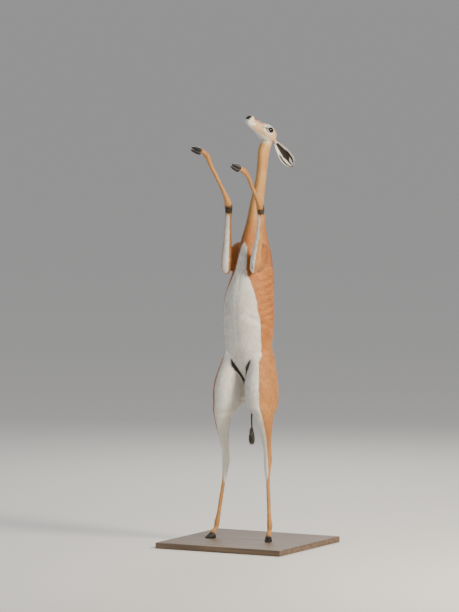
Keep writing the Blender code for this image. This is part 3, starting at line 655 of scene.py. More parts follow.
def join_halves(body, head):
    """Bring both meshes together and bridge their open loops at the neck."""
    below = trim_at_seam(body, False)
    above = trim_at_seam(head, True)
    lower = bpy.data.meshes.new("lower")
    above.to_mesh(lower)
    above.free()
    below.from_mesh(lower)
    edges = [edge for edge in below.edges if len(edge.link_faces) == 1
             and all(abs(corner.co.z - SEAM_LEVEL) < 0.002 for corner in edge.verts)]
    bmesh.ops.bridge_loops(below, edges=edges)
    holes = [edge for edge in below.edges if len(edge.link_faces) == 1]
    bmesh.ops.holes_fill(below, edges=holes, sides=0)
    bmesh.ops.recalc_face_normals(below, faces=below.faces)
    below.to_mesh(body.data)
    below.free()
    body.data.shade_smooth()
    bpy.data.objects.remove(head)


def ease(mesh, strength, rounds):
    """Move corners to the mean of their neighbours by a share that differs over the body."""
    pairs = np.empty(len(mesh.edges) * 2, int)
    mesh.edges.foreach_get("vertices", pairs)
    pairs = pairs.reshape(-1, 2)
    spots = corners_of(mesh)
    count = np.bincount(pairs.ravel(), minlength=len(spots))[:, None]
    for number in range(rounds):
        total = np.zeros_like(spots)
        for axis in range(3):
            total[:, axis] = (np.bincount(pairs[:, 0], spots[pairs[:, 1], axis], len(spots))
                              + np.bincount(pairs[:, 1], spots[pairs[:, 0], axis], len(spots)))
        share = strength if number % 2 == 0 else -strength * 0.55
        spots = spots + (total / np.maximum(count, 1) - spots) * share[:, None]
    set_corners(mesh, spots)


def smooth_share(low, high, value):
    """Rises from 0 to 1 between two values with a level start and end."""
    part = np.clip((value - low) / (high - low), 0.0, 1.0)
    return part * part * (3 - 2 * part)


def press_face(mesh):
    """Lips, mouth and nostrils: the surface sinks by bell curves round lines and spots."""
    spots, ways = corners_of(mesh), normals_of(mesh)
    along, left, up = head_local(spots)
    on_head = (along > 0.10) & (along < 0.22) & (np.abs(up) < 0.06) & (np.abs(left) < 0.05)
    lip = mouth_line(along)
    mouth = bell(up, lip, 0.0013) * np.clip((along - 0.150) / 0.006, 0, 1)
    lips = bell(up - lip, -0.0045, 0.0028) + bell(up - lip, 0.0045, 0.0028)
    lips = lips * np.clip((along - 0.160) / 0.02, 0, 1)
    long_way = (along - 0.2005) * 0.72 - (up - 0.0100) * 0.69
    short_way = (along - 0.2005) * 0.69 + (up - 0.0100) * 0.72
    nostril = bell(long_way, 0.0, 0.0050) * bell(short_way, 0.0, 0.0022)
    nostril = nostril * np.clip(np.abs(left) / 0.006 - 0.5, 0, 1)
    rim = bell(np.hypot(long_way / 0.0050, short_way / 0.0026), 1.7, 0.5)
    philtrum = bell(left, 0.0, 0.0010) * np.clip((along - 0.196) / 0.006, 0, 1) * (up < 0.006)
    gland = bell(along, 0.101, 0.006) * bell(up, 0.006, 0.0016)
    shift = (0.0009 * lips + 0.0007 * rim * (np.abs(left) > 0.004)
             - 0.0028 * mouth - 0.0050 * nostril - 0.0012 * philtrum - 0.0016 * gland)
    spots = spots + ways * (shift * on_head)[:, None]
    set_corners(mesh, spots)


RIB_SPACING = 0.034
RIB_RISE = 0.0006
# Spots on the trunk: rise, height and its spread, degrees round from the belly and their spread
TRUNK_SPOTS = {
    "hollow flank": (-0.0030, 0.990, 0.045, 125, 22),
    "hip bone": (0.0060, 0.945, 0.020, 142, 11),
    "hollow of the breast": (-0.0030, 1.38, 0.07, 0, 7),
    "shoulder blade": (0.0032, 1.47, 0.06, 122, 22),
    "hollow behind the shoulder": (-0.0036, 1.372, 0.018, 112, 28),
}
# Lines along the trunk: rise, degrees and their spread, and the heights where each starts and ends
TRUNK_LINES = {
    "spine": (0.0035, 180, 6, 0.84, 0.90, 1.40, 1.50),
    "groove beside the spine": (-0.0025, 162, 9, 0.84, 0.90, 1.40, 1.50),
    "middle line of the belly": (-0.0016, 0, 5, 0.86, 0.95, 1.50, 1.62),
    "groove of the neck": (-0.0020, 42, 11, 1.52, 1.60, 1.74, 1.82),
}


def span(value, start, full, last, end):
    """Rises to one between the first two values, and falls again between the last two."""
    return smooth_share(start, full, value) * smooth_share(end, last, value)


def trunk_relief(height, turn):
    """Ribs in even waves, the fold before the thigh, and the spots and lines named above."""
    ribs = np.sin(2 * math.pi * (height + 0.00045 * (180.0 - turn)) / RIB_SPACING)
    shift = RIB_RISE * ribs * bell(turn, 88, 34) * span(height, 1.08, 1.14, 1.34, 1.40)
    shift = shift - 0.0028 * bell(height - 1.16 + 0.0010 * turn, 0.0, 0.020) * bell(turn, 60, 45)
    for rise, level, tall, way, wide in TRUNK_SPOTS.values():
        shift = shift + rise * bell(height, level, tall) * bell(turn, way, wide)
    for rise, way, wide, *heights in TRUNK_LINES.values():
        shift = shift + rise * bell(turn, way, wide) * span(height, *heights)
    return shift


def hind_relief(height, outer, front):
    """Grooves between the thigh's muscles, the kneecap, and the hollow before the heel's tendon."""
    thigh = span(height, 0.62, 0.70, 0.86, 0.92)
    sides = smooth_share(0.40, 0.80, np.abs(outer))
    shank = span(height, 0.10, 0.14, 0.31, 0.35)
    return (-0.0038 * bell(front + 0.05, (height - 0.78) * 1.2, 0.12) * bell(outer, 1.0, 0.5) * thigh
            - 0.0034 * bell(front, -0.62, 0.12) * bell(outer, 0.75, 0.5) * thigh
            + 0.0035 * bell(height, 0.672, 0.024) * bell(front, 1.0, 0.35)
            - 0.0060 * bell(front, -0.38, 0.24) * bell(height, 0.465, 0.055) * sides
            - 0.0014 * bell(front, -0.25, 0.25) * sides * shank)


def fore_relief(key, knee, side, front):
    """The groove between the forearm's muscles, and the one before the tendons above the hoof."""
    sides = smooth_share(0.40, 0.85, np.abs(side))
    return (-0.0022 * bell(front, 0.20, 0.20) * sides * bell(key, knee - 0.19, 0.09)
            - 0.0012 * bell(front, -0.20, 0.25) * sides * smooth_share(knee + 0.04, knee + 0.07, key))


def press_muscles(mesh):
    """Muscle and bone under the hide, raised or sunk on the part of the body each spot is near."""
    spots, ways = corners_of(mesh), normals_of(mesh)
    shift = np.zeros(len(spots))
    for name, run in RUNS.items():
        row, side, front, away = run.locate(spots)
        near = bell(away, 0.97, 0.10)
        height = run.values[row, 2]
        if run.level:
            near = near * (np.abs(height_of(spots) - height) < 0.01)
        if name == "trunk":
            shift += near * trunk_relief(height, np.degrees(np.arctan2(np.abs(side), front)))
        elif name.startswith("hind"):
            shift += near * hind_relief(height, side * sign_of(name), front)
        elif name.startswith("fore"):
            shift += near * fore_relief(run.wanted[row], run.keys[KNEE], side, front)
    spots = spots + ways * shift[:, None]
    set_corners(mesh, spots)


def make_skin():
    """Merge the broad forms, merge the head finely, join both and ease the folds."""
    body = merged("hide", broad_forms(), BROAD_VOXEL)
    upper = RUNS["trunk"].rings(RUN_SIDES, -COAT_DEPTH)
    heights = RUNS["trunk"].values[:, 2]
    fine = [closed_form("nape_form", upper[heights > NECK_SEAM - 0.05]), head_form()]
    lid = EYE_RADIUS + 0.0030
    for sign in (1.0, -1.0):
        lids = (lid * 1.22, lid, lid)
        fine.append(egg("lids", eye_middle(sign), lids, (HEAD_AHEAD, HEAD_LEFT, HEAD_ABOVE)))
        fine += [ear_form(sign), ear_stalk(sign)]
    head = merged("head_skin", fine, FINE_VOXEL)
    ease(head.data, np.full(len(head.data.vertices), 0.5), 4)
    open_eyes(head)
    spots = corners_of(body.data)
    height = height_of(spots)
    trunk_share = np.clip((height - 0.66) / 0.08, 0, 1) * np.clip((1.60 - height) / 0.08, 0, 1)
    inward = np.clip((0.20 - np.hypot(spots[:, 0], spots[:, 1])) / 0.05, 0, 1)
    groin = smooth_share(0.0, -0.05, spots[:, 1]) * smooth_share(0.94, 0.90, height)
    ease(body.data, 0.15 + 0.35 * trunk_share * inward * (1 - 0.8 * groin), 18)
    press_muscles(body.data)
    join_halves(body, head)
    spots = corners_of(body.data)
    round_neck = np.hypot(spots[:, 0] - 0.025, spots[:, 1] - 0.095) < 0.06
    ease(body.data, 0.6 * round_neck * bell(spots[:, 2], SEAM_LEVEL, 0.012), 12)
    press_face(body.data)
    return body


skin = make_skin()

# The markings.
# White belly, chest, inner legs and rump, a light flank, and a dark saddle with a sharp edge.
# The face has a red-brown bridge, white round the eye and on the lips, and a black nose; where its
# black runs down the front of the muzzle to the lip, it is painted shade.

ABSENT = -1.0
FAR = 9.0
FIELD_SCALE = 50.0
EDGE_SOFTNESS = 0.05
RADIAN = 57.3
EAR_FINGERS = 3
# Where the belly's white ends: degrees round from its middle line, at these heights
EDGE_HEIGHTS = (0.70, 0.80, 1.01, 1.085, 1.215, 1.33, 1.375, 1.48, 1.535)
EDGE_TURNS = (100.0, 75.0, 58.5, 56.0, 50.0, 31.0, 19.0, 17.0, -8.0)


def columns(count, *fields):
    """Fields side by side, each given as one number or as an array."""
    return np.stack([np.broadcast_to(field, count) for field in fields], axis=1)


def trunk_marks(run, row, side, front):
    """White within an angle of the belly's middle line; saddle past an angle to the back."""
    height = run.values[row, 2]
    size = run.values[row, 3]
    turn = np.degrees(np.arctan2(np.abs(side), front))
    edge = np.interp(height, EDGE_HEIGHTS, EDGE_TURNS) + 1.5 * np.sin(height * 41.0)
    spread = 166.0 - 30.0 * smooth_share(0.885, 0.80, height)
    rump = np.minimum((turn - spread) / RADIAN * size, 0.880 - height)
    white = np.maximum((edge - turn) / RADIAN * size, rump)
    back = 112.0 + 16.0 * smooth_share(1.45, 1.75, height) + 10.0 * smooth_share(0.95, 0.85, height)
    return white, (turn - back) / RADIAN * size, ABSENT


def hind_marks(run, row, side, front, sign):
    """White on the inner half of the thigh and the front of the shank, down to the hock."""
    height = run.values[row, 2]
    size = run.values[row, 3]
    inner = -side * sign
    bias = 0.38 * smooth_share(-0.2, 0.3, front) + 0.08 + 0.14 * smooth_share(0.60, 0.48, height)
    bias = bias - 0.75 * smooth_share(0.0, -0.6, front) * smooth_share(0.60, 0.50, height)
    white = (inner + bias - 1.6 * smooth_share(0.34, 0.25, height)) * size
    return white, -0.05, ABSENT


def fore_marks(run, row, side, front, sign):
    """White along the sole side of the arm and a dark band at the knee."""
    key = run.wanted[row]
    knee = run.keys[KNEE]
    size = run.values[row, 3]
    inner = side * sign
    white = (0.28 * inner - 0.96 * front - 0.66 - 0.7 * smooth_share(knee - 0.06, knee, key)) * size
    band = 0.021 - np.abs(key - (knee - 0.018)) - 0.004 * (front < 0)
    return white, -0.05, np.minimum(band, 0.0007)


def head_marks(points):
    """Bridge, brow, eye ring, lips and nose from distances on the head, one field each."""
    along, left, up = head_local(points)
    width = np.abs(left)
    middle_up = between(HEAD[:, 0], HEAD[:, 1:], along)[:, 1]
    crown = middle_up - up
    bridge = np.minimum(0.0205 - 0.0022 * np.clip((along - 0.08) / 0.05, 0, 2) - width,
                        0.017 - crown)
    bridge = np.minimum(bridge, 0.186 - along)
    eye = np.sqrt(((along - EYE_SPOT[0] - 0.005) / 1.45) ** 2 + ((up - EYE_SPOT[2] + 0.003)) ** 2)
    ring = np.where(width > 0.018, 0.0200 - eye, ABSENT)
    streak = np.minimum(0.0042 - np.abs(up - (0.0345 - 0.16 * (along - 0.075))), 0.155 - along)
    streak = np.minimum(streak, along - 0.066)
    streak = np.where(width > 0.010, streak, ABSENT)
    lip = mouth_line(along)
    lips = np.minimum(0.0065 - np.abs(up - lip - 0.001), along - 0.158)
    chin = np.minimum(lip - up, along - 0.172)
    muzzle = np.minimum(along - 0.183, up - lip)
    throat = np.minimum(-0.031 - up + 0.06 * np.clip(along - 0.06, 0, 1), along - 0.045)
    throat = np.minimum(throat, up + 0.053)
    white = np.maximum.reduce([ring, streak, lips, chin, muzzle, throat])
    # Black nose pad; at the front of the muzzle the black reaches down to the lip line, and there it
    # is painted shade.
    nose_and_painted_shade = np.minimum(along - 0.1955, up - lip - 0.0025 + 0.0020 * smooth_share(0.198, 0.203, along))
    nose_and_painted_shade = np.minimum(nose_and_painted_shade, 0.0150 - width + (along > 0.204) * 0.02)
    opening = np.sqrt(((along - EYE_SPOT[0]) / 1.3) ** 2 + (up - EYE_SPOT[2]) ** 2)
    lid_edge = np.where(width > 0.028, 0.0130 - opening, ABSENT)
    tear = np.minimum(0.0020 - np.abs(up - 0.011 + 0.20 * (along - 0.085)), 0.118 - along)
    tear = np.where(width > 0.012, np.minimum(tear, along - 0.080), ABSENT)
    dark = np.maximum.reduce([nose_and_painted_shade, lid_edge, tear])
    patch = np.minimum(0.020 - np.sqrt((along - 0.040) ** 2 + left ** 2), up - 0.030)
    return white, np.maximum(bridge, patch), dark


def ear_marks(points, sign):
    """Inside: black heart with fingers between white bands; outside buff; the tip dark."""
    along, opening, across = ear_ways(sign)
    offset = points - ear_base(sign)
    share = (offset @ along) / EAR_LENGTH
    half, deep = ear_shape(np.clip(share, 0.0, 0.999))
    reach = (offset @ across) / half
    sunk = -(offset @ opening) - 0.010 * np.sin(math.pi * np.clip(share, 0, 1))
    inside = deep * (1 - np.clip(reach, -1, 1) ** 2) + 0.0012 - sunk
    on_ear = (share > 0.02) & (share < 1.06) & (np.abs(reach) < 1.5) & (sunk < deep + 0.012)
    on_ear &= RUNS["trunk"].locate(points)[3] > 1.07
    on_ear &= np.linalg.norm(offset, axis=1) < EAR_LENGTH * 1.1
    up_side = -reach * sign
    heart = 0.50 - np.abs(up_side - 0.12) - 0.9 * smooth_share(0.55, 0.95, share)
    finger = np.cos(up_side * math.pi * EAR_FINGERS + 0.6) - 0.15
    finger = np.minimum(finger, 0.86 - np.abs(reach)) - 2.2 * np.clip(share - 0.93, 0, 1)
    finger = np.minimum(finger, (share - 0.42) * 4.0)
    black = np.maximum(np.minimum(heart, (share - 0.06) * 4.0), finger) * 0.012
    tip = (share - 0.955) * 0.15
    dark = np.maximum(np.where(inside > 0, black, ABSENT), tip)
    white = np.where(inside > 0, 0.02, (np.abs(reach) - 0.93) * 0.02)
    return on_ear, np.minimum(white, -tip), -0.05, dark


def coat_fields(points):
    """White, saddle, dark and buff fields at any points, from the run each lies closest to.

    A field is a rough distance in metres inside its marking's edge, negative outside.
    """
    total = np.zeros((len(points), 4))
    weight = np.full(len(points), 1e-9)
    clear = {}
    height = height_of(points)
    for name, run in RUNS.items():
        row, side, front, away = run.locate(points)
        clear[name] = away
        sign = sign_of(name)
        if name == "trunk":
            white, saddle, dark = trunk_marks(run, row, side, front)
            buff = 0.46 * smooth_share(1.50, 1.72, run.values[row, 2])
        elif name.startswith("hind"):
            white, saddle, dark = hind_marks(run, row, side, front, sign)
            buff = 0.16 + 0.18 * smooth_share(0.50, 0.30, run.values[row, 2])
        elif name.startswith("fore"):
            white, saddle, dark = fore_marks(run, row, side, front, sign)
            buff = 0.30
        else:
            white, saddle, dark, buff = -0.03, -0.05, ABSENT, 0.0
        near = bell(away, 1.0, 0.10) + 1e-6 * np.exp(-np.abs(away - 1.0))
        if run.level:
            near = near * run.covers(height)
        total += columns(len(points), white, saddle, dark, buff) * near[:, None]
        weight += near
    fields = total / weight[:, None]
    # Dark groin fold: the bare dark skin of the groin, widened into painted shade in the crease
    # between the belly and the thighs.
    groin_skin_and_shade = 1.19 - np.maximum(clear["trunk"], np.minimum(clear["hind_left"], clear["hind_right"]))
    groin_skin_and_shade = groin_skin_and_shade * 0.022 - 0.1 * (np.clip(0.805 - height, 0, 1) + np.clip(height - 0.880, 0, 1))
    in_groin = (height > 0.77) & (height < 0.92) & (points[:, 1] < -0.015)
    fields[:, 2] = np.where(in_groin, np.maximum(fields[:, 2], groin_skin_and_shade), fields[:, 2])
    along, left, up = head_local(points)
    radius = np.sqrt(left ** 2 + up ** 2)
    on_head = (along > 0.0) & (radius < 0.075) & (height > HEAD_FROM)
    share = on_head * smooth_share(-0.002, 0.022, along) * smooth_share(-0.075, -0.045, up)
    white, saddle, dark = head_marks(points)
    face = columns(len(points), white, saddle, dark, 0.88)
    fields = fields * (1 - share)[:, None] + face * share[:, None]
    for sign in (1.0, -1.0):
        on_ear, white, saddle, dark = ear_marks(points, sign)
        ear = columns(len(points), white, saddle, dark, 0.6)
        fields = np.where(on_ear[:, None], ear, fields)
    return fields


def store_fields(mesh, fields):
    """Keep the four fields on the mesh, the first three scaled and with their edge at one half."""
    packed = np.clip(0.5 + fields[:, :3] * FIELD_SCALE, 0.0, 1.0)
    rows = np.concatenate([packed, fields[:, 3:4]], axis=1).astype(np.float32)
    kept = mesh.attributes.new("marks", "FLOAT_COLOR", "POINT")
    kept.data.foreach_set("color", rows.ravel())


def coat_material():
    """Hair coloured by the marking fields: each edge is where its field passes one half."""
    coat = Finish("short_coat", 0.62, Sheen_Weight=0.25, Sheen_Roughness=0.4, Specular_IOR_Level=0.35)
    marks = coat.attribute("marks", "Color")
    buff_share = marks.node.outputs["Alpha"]
    fields = coat.node("SeparateColor", "Red", Color=marks).node.outputs
    broad = coat.noise(14.0, 5.0)
    hair = coat.noise(900.0, 3.0, (1.0, 1.0, 0.16))

    def sum_of(source, factor, addend):
        """A value times a factor, plus another."""
        whole = coat.node("Math", 0, {"operation": "MULTIPLY_ADD"})
        for socket, part in zip(whole.node.inputs, (source, factor, addend)):
            coat.feed(socket, part)
        return whole

    def edged(field, wander):
        """A soft step where the field, moved a little by noise, passes one half."""
        middle = 0.5 + wander * 0.5
        return coat.node("MapRange", "Result", {"interpolation_type": "SMOOTHSTEP"},
                         Value=sum_of(hair, wander, fields[field]),
                         From_Min=middle - EDGE_SOFTNESS, From_Max=middle + EDGE_SOFTNESS)

    def mixed(share, first, second, blend="MIX"):
        """The second colour over the first by the share."""
        return coat.node("Mix", "Result", {"data_type": "RGBA", "blend_type": blend},
                         Factor=share, A=first, B=second)

    def share_of(low, high):
        """How far the fourth field has come from a low to a high value."""
        return coat.node("MapRange", "Result", Value=buff_share, From_Min=low, From_Max=high)

    def mottled(dark, light):
        """From a dark to a light colour by the broad noise."""
        return coat.ramp(broad, (0.30, dark), (0.70, light))

    flank = mottled((0.400, 0.132, 0.028), (0.500, 0.188, 0.045))
    buff = mottled((0.530, 0.262, 0.080), (0.620, 0.335, 0.112))
    cream = mottled((0.600, 0.405, 0.220), (0.690, 0.495, 0.295))
    red = mottled((0.250, 0.080, 0.026), (0.330, 0.112, 0.038))
    pale = mottled((0.74, 0.69, 0.60), (0.84, 0.80, 0.72))
    colour = mixed(share_of(0.5, 1.0), mixed(share_of(0.0, 0.5), flank, buff), cream)
    # The red-brown and the near-black also carry painted shade: down the hanging tail, in the groin
    # fold and on the front of the muzzle.
    colour = mixed(edged("Green", 0.10), colour, red)
    colour = mixed(edged("Red", 0.12), colour, pale)
    colour = mixed(edged("Blue", 0.12), colour, (0.022, 0.016, 0.012, 1.0))
    streak = coat.ramp(hair, (0.25, (0.80, 0.80, 0.80)), (0.75, (1.08, 1.08, 1.08)))
    colour = mixed(0.75, colour, streak, "MULTIPLY")
    tone = sum_of(coat.attribute("tone", "Fac"), 0.13, 1.0)
    coat.colour(coat.node("VectorMath", 0, {"operation": "SCALE"}, Vector=colour, Scale=tone))
    coat.bump(hair, 0.40, 0.0005)
    return coat.material


FLESH_NODES = [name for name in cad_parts
               if not name.startswith(("eye", "stand", "tail")) and "claw" not in name]
coat_finish = coat_material()
store_fields(skin.data, coat_fields(corners_of(skin.data)))
skin.name = "skin"
skin.data.materials.clear()
skin.data.materials.append(coat_finish)
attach(skin, "root")
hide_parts(*FLESH_NODES)

# The eyes.
# A large ball set deep between the lids, with a clear wet front, that fills its socket.
# Iris and pupil are both so dark that they read as one.


def eye_material():
    """Very dark brown, faintly mottled, under a wet clear coat."""
    eye = Finish("wet_eye", 0.08, Specular_IOR_Level=0.2, Coat_Weight=0.4, Coat_Roughness=0.02)
    eye.colour(eye.ramp(eye.noise(220.0, 3.0), (0.35, (0.003, 0.002, 0.002)),
                        (0.75, (0.012, 0.006, 0.004))))
    return eye.material


eye_finish = eye_material()
for side, sign in (("left", 1.0), ("right", -1.0)):
    ball = egg("eyeball_" + side, eye_middle(sign), (EYE_RADIUS - 0.0001,) * 3, eye_axes(), 64, 40)
    ball.data.materials.append(eye_finish)
    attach(ball, "root")
    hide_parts("eye_" + side)

# The hooves.
# Two narrow pointed claws of black horn on each foot, side by side, flat underneath.
# Their walls carry fine growth rings and patches that are worn greyer.

CLAW_LENGTH = 0.047
CLAW_WIDTH = 0.0165
CLAW_HEIGHT = 0.027


def horn_material():
    """Black horn with level growth rings and patches worn greyer."""
    horn = Finish("black_horn", 0.5, Specular_IOR_Level=0.3)
    horn.colour(horn.ramp(horn.noise(70.0, 5.0), (0.35, (0.010, 0.009, 0.009)),
                          (0.80, (0.040, 0.036, 0.033))))
    horn.bump(horn.noise(240.0, 2.0, (0.25, 0.25, 2.0)), 0.35, 0.0006)
    return horn.material


def claw_form(name, heel, forward, up, inward):
    """Sections along the claw: the top falls straight to the point, the outer wall bows."""
    keys = np.array([-0.16, -0.10, 0.0, 0.25, 0.55, 0.82, 1.0])
    sizes = np.array([(0.30, 0.22, 0.22), (0.58, 0.42, 0.38), (0.84, 0.52, 0.44), (0.98, 0.54, 0.46),
                      (0.68, 0.44, 0.45), (0.38, 0.24, 0.40), (0.16, 0.00, 0.28)])
    along = np.linspace(-0.16, 1.0, 26)
    height, outer, inner = between(keys, sizes, along).T
    turn = np.linspace(math.pi, 0.0, 15)
    across = np.sign(np.cos(turn)) * np.abs(np.cos(turn)) ** 0.62
    raised = np.sin(turn) ** 0.75
    wide = np.where(across[None, :] > 0, inner[:, None], outer[:, None]) * CLAW_WIDTH
    points = (heel + forward * (along * CLAW_LENGTH)[:, None, None]
              + inward * (wide * across[None, :])[..., None]
              + up * (height[:, None] * CLAW_HEIGHT * raised[None, :])[..., None])
    return closed_form(name, points)


def foot_ways(prefix, side):
    """The foot's coronet, forward, outward and up, as the solids have them."""
    sign = sign_of(side)
    if prefix == "hind":
        turn = math.radians(TOE_OUT[side])
        forward = np.array((sign * math.sin(turn), -math.cos(turn), 0.0))
        up = np.array((0.0, 0.0, 1.0))
        ankle = RUNS["hind_" + side].stations[-3]
        coronet = to_world((ankle[0], ankle[1], 0.0)) + forward * 0.016 + up * 0.0003
    else:
        end = np.array(FORE_PATH[side][-1])
        forward = unit((np.array(FORE_TIP[side]) - end) * FLIP)
        up = unit(np.array((0.0, 1.0, 0.0)) - forward * forward[1])
        coronet = to_world(end) + forward * 0.017 - up * 0.016
    outward = np.cross(up, forward) * -sign
    return coronet, forward, outward, up


horn_finish = horn_material()
for side in ("left", "right"):
    for prefix in ("hind", "fore"):
        coronet, forward, outward, up = foot_ways(prefix, side)
        for word, sign in (("outer", 1.0), ("inner", -1.0)):
            heel = coronet + outward * (sign * (CLAW_WIDTH * 0.46 + 0.0003))
            hoof = claw_form(f"hoof_{prefix}_{word}_{side}", heel, forward, up, outward * -sign)
            hoof.data.materials.append(horn_finish)
            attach(hoof, "root")
            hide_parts(f"{prefix}_claw_{word}_{side}")

# The coat.
# Short sleek hair that lies flat and runs from the nose to the tail and down each leg.
# Each tuft is a thin closed blade of seven corners, rooted in the skin and coloured at its root.


def hair_ways(points):
    """The lie of the hair: down the trunk, along each leg to its hoof, back over the head."""
    total = np.zeros_like(points)
    for name, run in RUNS.items():
        row, _, _, away = run.locate(points)
        near = bell(away, 1.0, 0.12)
        flow = run.axis[row] * FLIP
        if run.level:
            flow = unit(np.gradient(run.values[:, :3], axis=0)[row] * FLIP)
        if name == "trunk":
            flow = -flow
        total += flow * (near + 1e-6)[:, None]
    along, _, up = head_local(points)
    share = (smooth_share(-0.01, 0.03, along) * (height_of(points) > HEAD_FROM)
             * smooth_share(-0.08, -0.04, up))
    total = total * (1 - share)[:, None] - HEAD_AHEAD * share[:, None]
    for sign in (1.0, -1.0):
        on_ear = ear_marks(points, sign)[0]
        total = np.where(on_ear[:, None], ear_ways(sign)[0], total)
    return unit(total)


def tuft_size(points):
    """Length and width of the tufts: longest on the trunk, tiny on face, feet and elbows."""
    height = height_of(points)
    length = 0.010 + 0.008 * smooth_share(0.40, 0.75, height) * smooth_share(1.80, 1.45, height)
    along = head_local(points)[0]
    length = np.where(height > HEAD_FROM, 0.0068 - 0.0028 * smooth_share(0.08, 0.20, along), length)
    length = np.where(height < 0.12, 0.007, length)
    for name, end in (("fore_left", 0), ("fore_right", 0), ("arm_left", -1), ("arm_right", -1)):
        reach = np.linalg.norm(points - to_world(RUNS[name].values[end, :3]), axis=1)
        length = length * (1 - 0.72 * smooth_share(0.034, 0.016, reach))
    return length, 0.0002 + length * 0.085


def scatter(mesh, chosen, count, seed):
    """Roots spread over chosen triangles in proportion to their area, with normals."""
    draw = np.random.default_rng(seed)
    mesh.calc_loop_triangles()
    corners = np.empty(len(mesh.loop_triangles) * 3, int)
    mesh.loop_triangles.foreach_get("vertices", corners)
    corners = corners.reshape(-1, 3)
    spots, ways = corners_of(mesh), normals_of(mesh)
    corners = corners[chosen(spots[corners].mean(1))]
    first, second, third = (spots[corners[:, k]] for k in range(3))
    area = np.linalg.norm(np.cross(second - first, third - first), axis=1)
    length = tuft_size(spots[corners].mean(1))[0]
    share = area / length ** 1.6
    picked = draw.choice(len(corners), size=count, p=share / share.sum())
    a, b = draw.random(count), draw.random(count)
    flip = a + b > 1
    a, b = np.where(flip, 1 - a, a), np.where(flip, 1 - b, b)
    mix = np.stack([1 - a - b, a, b], axis=1)
    roots = (spots[corners[picked]] * mix[:, :, None]).sum(1)
    normals = (ways[corners[picked]] * mix[:, :, None]).sum(1)
    return roots, unit(normals), draw


BLADE_CORNERS = 7
BLADE_FACES = np.array([(0, 4, 1), (0, 3, 4), (1, 5, 2), (1, 4, 5), (2, 3, 0), (2, 5, 3),
                        (3, 6, 4), (4, 6, 5), (5, 6, 3), (0, 1, 2)])
BLADE_ON_MAP = np.array([(-1, 0), (1, 0), (0, 0.2), (-1, 0.5), (1, 0.5), (0, 0.7), (0, 1)]) * 0.0014
BLADE_THICKNESS = 0.22
ROOT_DEPTH = 0.0006


def blades(name, roots, normals, lies, length, width, lift, draw, unwrap, finish):
    """Closed blades: a triangle at the root, a flatter one half way, and a point.

    The middle line rises from the skin by the lift and bends back down towards it.
    """
    lies = unit(lies - normals * (lies * normals).sum(1)[:, None])
    across = np.cross(lies, normals)
    swing = draw.normal(0.0, 0.16, len(roots))[:, None]
    lies = lies * np.cos(swing) + across * np.sin(swing)
    across = np.cross(lies, normals)
    length = (length * draw.uniform(0.75, 1.2, len(roots)))[:, None]
    width = width[:, None]
    lift = (lift * draw.uniform(0.6, 1.5, len(roots)))[:, None]
    base = roots - normals * ROOT_DEPTH
    middle = roots + lies * length * 0.5 + normals * (length * lift * 0.8)
    point = roots + lies * length + normals * (length * lift)
    thick = width * BLADE_THICKNESS
    corners = np.stack([base - across * width * 0.40, base + across * width * 0.40,
                        base + normals * thick, middle - across * width * 0.5,
                        middle + across * width * 0.5, middle + normals * thick, point], axis=1)
    faces = (np.arange(len(roots))[:, None, None] * BLADE_CORNERS + BLADE_FACES).reshape(-1, 3)
    made = mesh_object(name, corners.reshape(-1, 3), faces)
    flat = (unwrap(roots)[:, None, :] + BLADE_ON_MAP).reshape(-1, 2)
    layer = made.data.uv_layers.new(name="OFBake")
    layer.data.foreach_set("uv", flat[faces.ravel()].astype(np.float32).ravel())
    store_fields(made.data, np.repeat(coat_fields(roots), BLADE_CORNERS, axis=0))
    tone = made.data.attributes.new("tone", "FLOAT", "POINT")
    tones = np.repeat(draw.uniform(-1, 1, len(roots)), BLADE_CORNERS)
    tone.data.foreach_set("value", tones.astype(np.float32))
    leaning = unit(normals + across * draw.normal(0.0, 0.12, len(roots))[:, None] - lies * 0.10)
    made.data.normals_split_custom_set_from_vertices(np.repeat(leaning, BLADE_CORNERS, axis=0))
    made.data.materials.append(finish)
    return made


def run_unwrap(run):
    """The place round and along a run, as a flat map."""
    def unwrap(points):
        row, side, front, _ = run.locate(points)
        turn = np.arctan2(front, side) / (2 * math.pi) + 0.5
        return np.stack([0.02 + 0.96 * turn, 0.02 + 0.96 * row / len(run.values)], axis=1)
    return unwrap


def head_unwrap(points):
    """The place round and along the head, as a flat map, with the ears beside it."""
    along, left, up = head_local(points)
    turn = np.arctan2(up, left) / (2 * math.pi) + 0.5
    flat = np.stack([0.02 + 0.60 * turn, 0.05 + 0.9 * np.clip(along / 0.21, 0, 1)], axis=1)
    for number, sign in enumerate((1.0, -1.0)):
        on_ear = ear_marks(points, sign)[0]
        way, _, across = ear_ways(sign)
        offset = points - ear_base(sign)
        spread = np.stack([0.73 + 0.17 * number + (offset @ across) * 2.0,
                           0.05 + 0.85 * (offset @ way) / EAR_LENGTH], axis=1)
        flat = np.where(on_ear[:, None], spread, flat)
    return flat


def region(name, low, high):
    """A test of whether a place on the skin belongs to some runs or the head, between heights."""
    def chosen(points):
        height = height_of(points)
        close = {}
        for key, run in RUNS.items():
            close[key] = run.locate(points)[3]
            if run.level:
                close[key] = np.where(run.covers(height), close[key], FAR)
        on_head = (height > HEAD_FROM) & (np.linalg.norm(points - HEAD_BACK, axis=1) < HEAD_REACH)
        on_head &= np.minimum(close["fore_left"], close["fore_right"]) > 1.5
        if name == "head":
            return on_head
        keys = list(RUNS)
        nearest = np.array([close[key] for key in keys]).argmin(0)
        picked = np.isin(nearest, [number for number, key in enumerate(keys) if key in name])
        return picked & ~on_head & (height > low) & (height <= high)
    return chosen


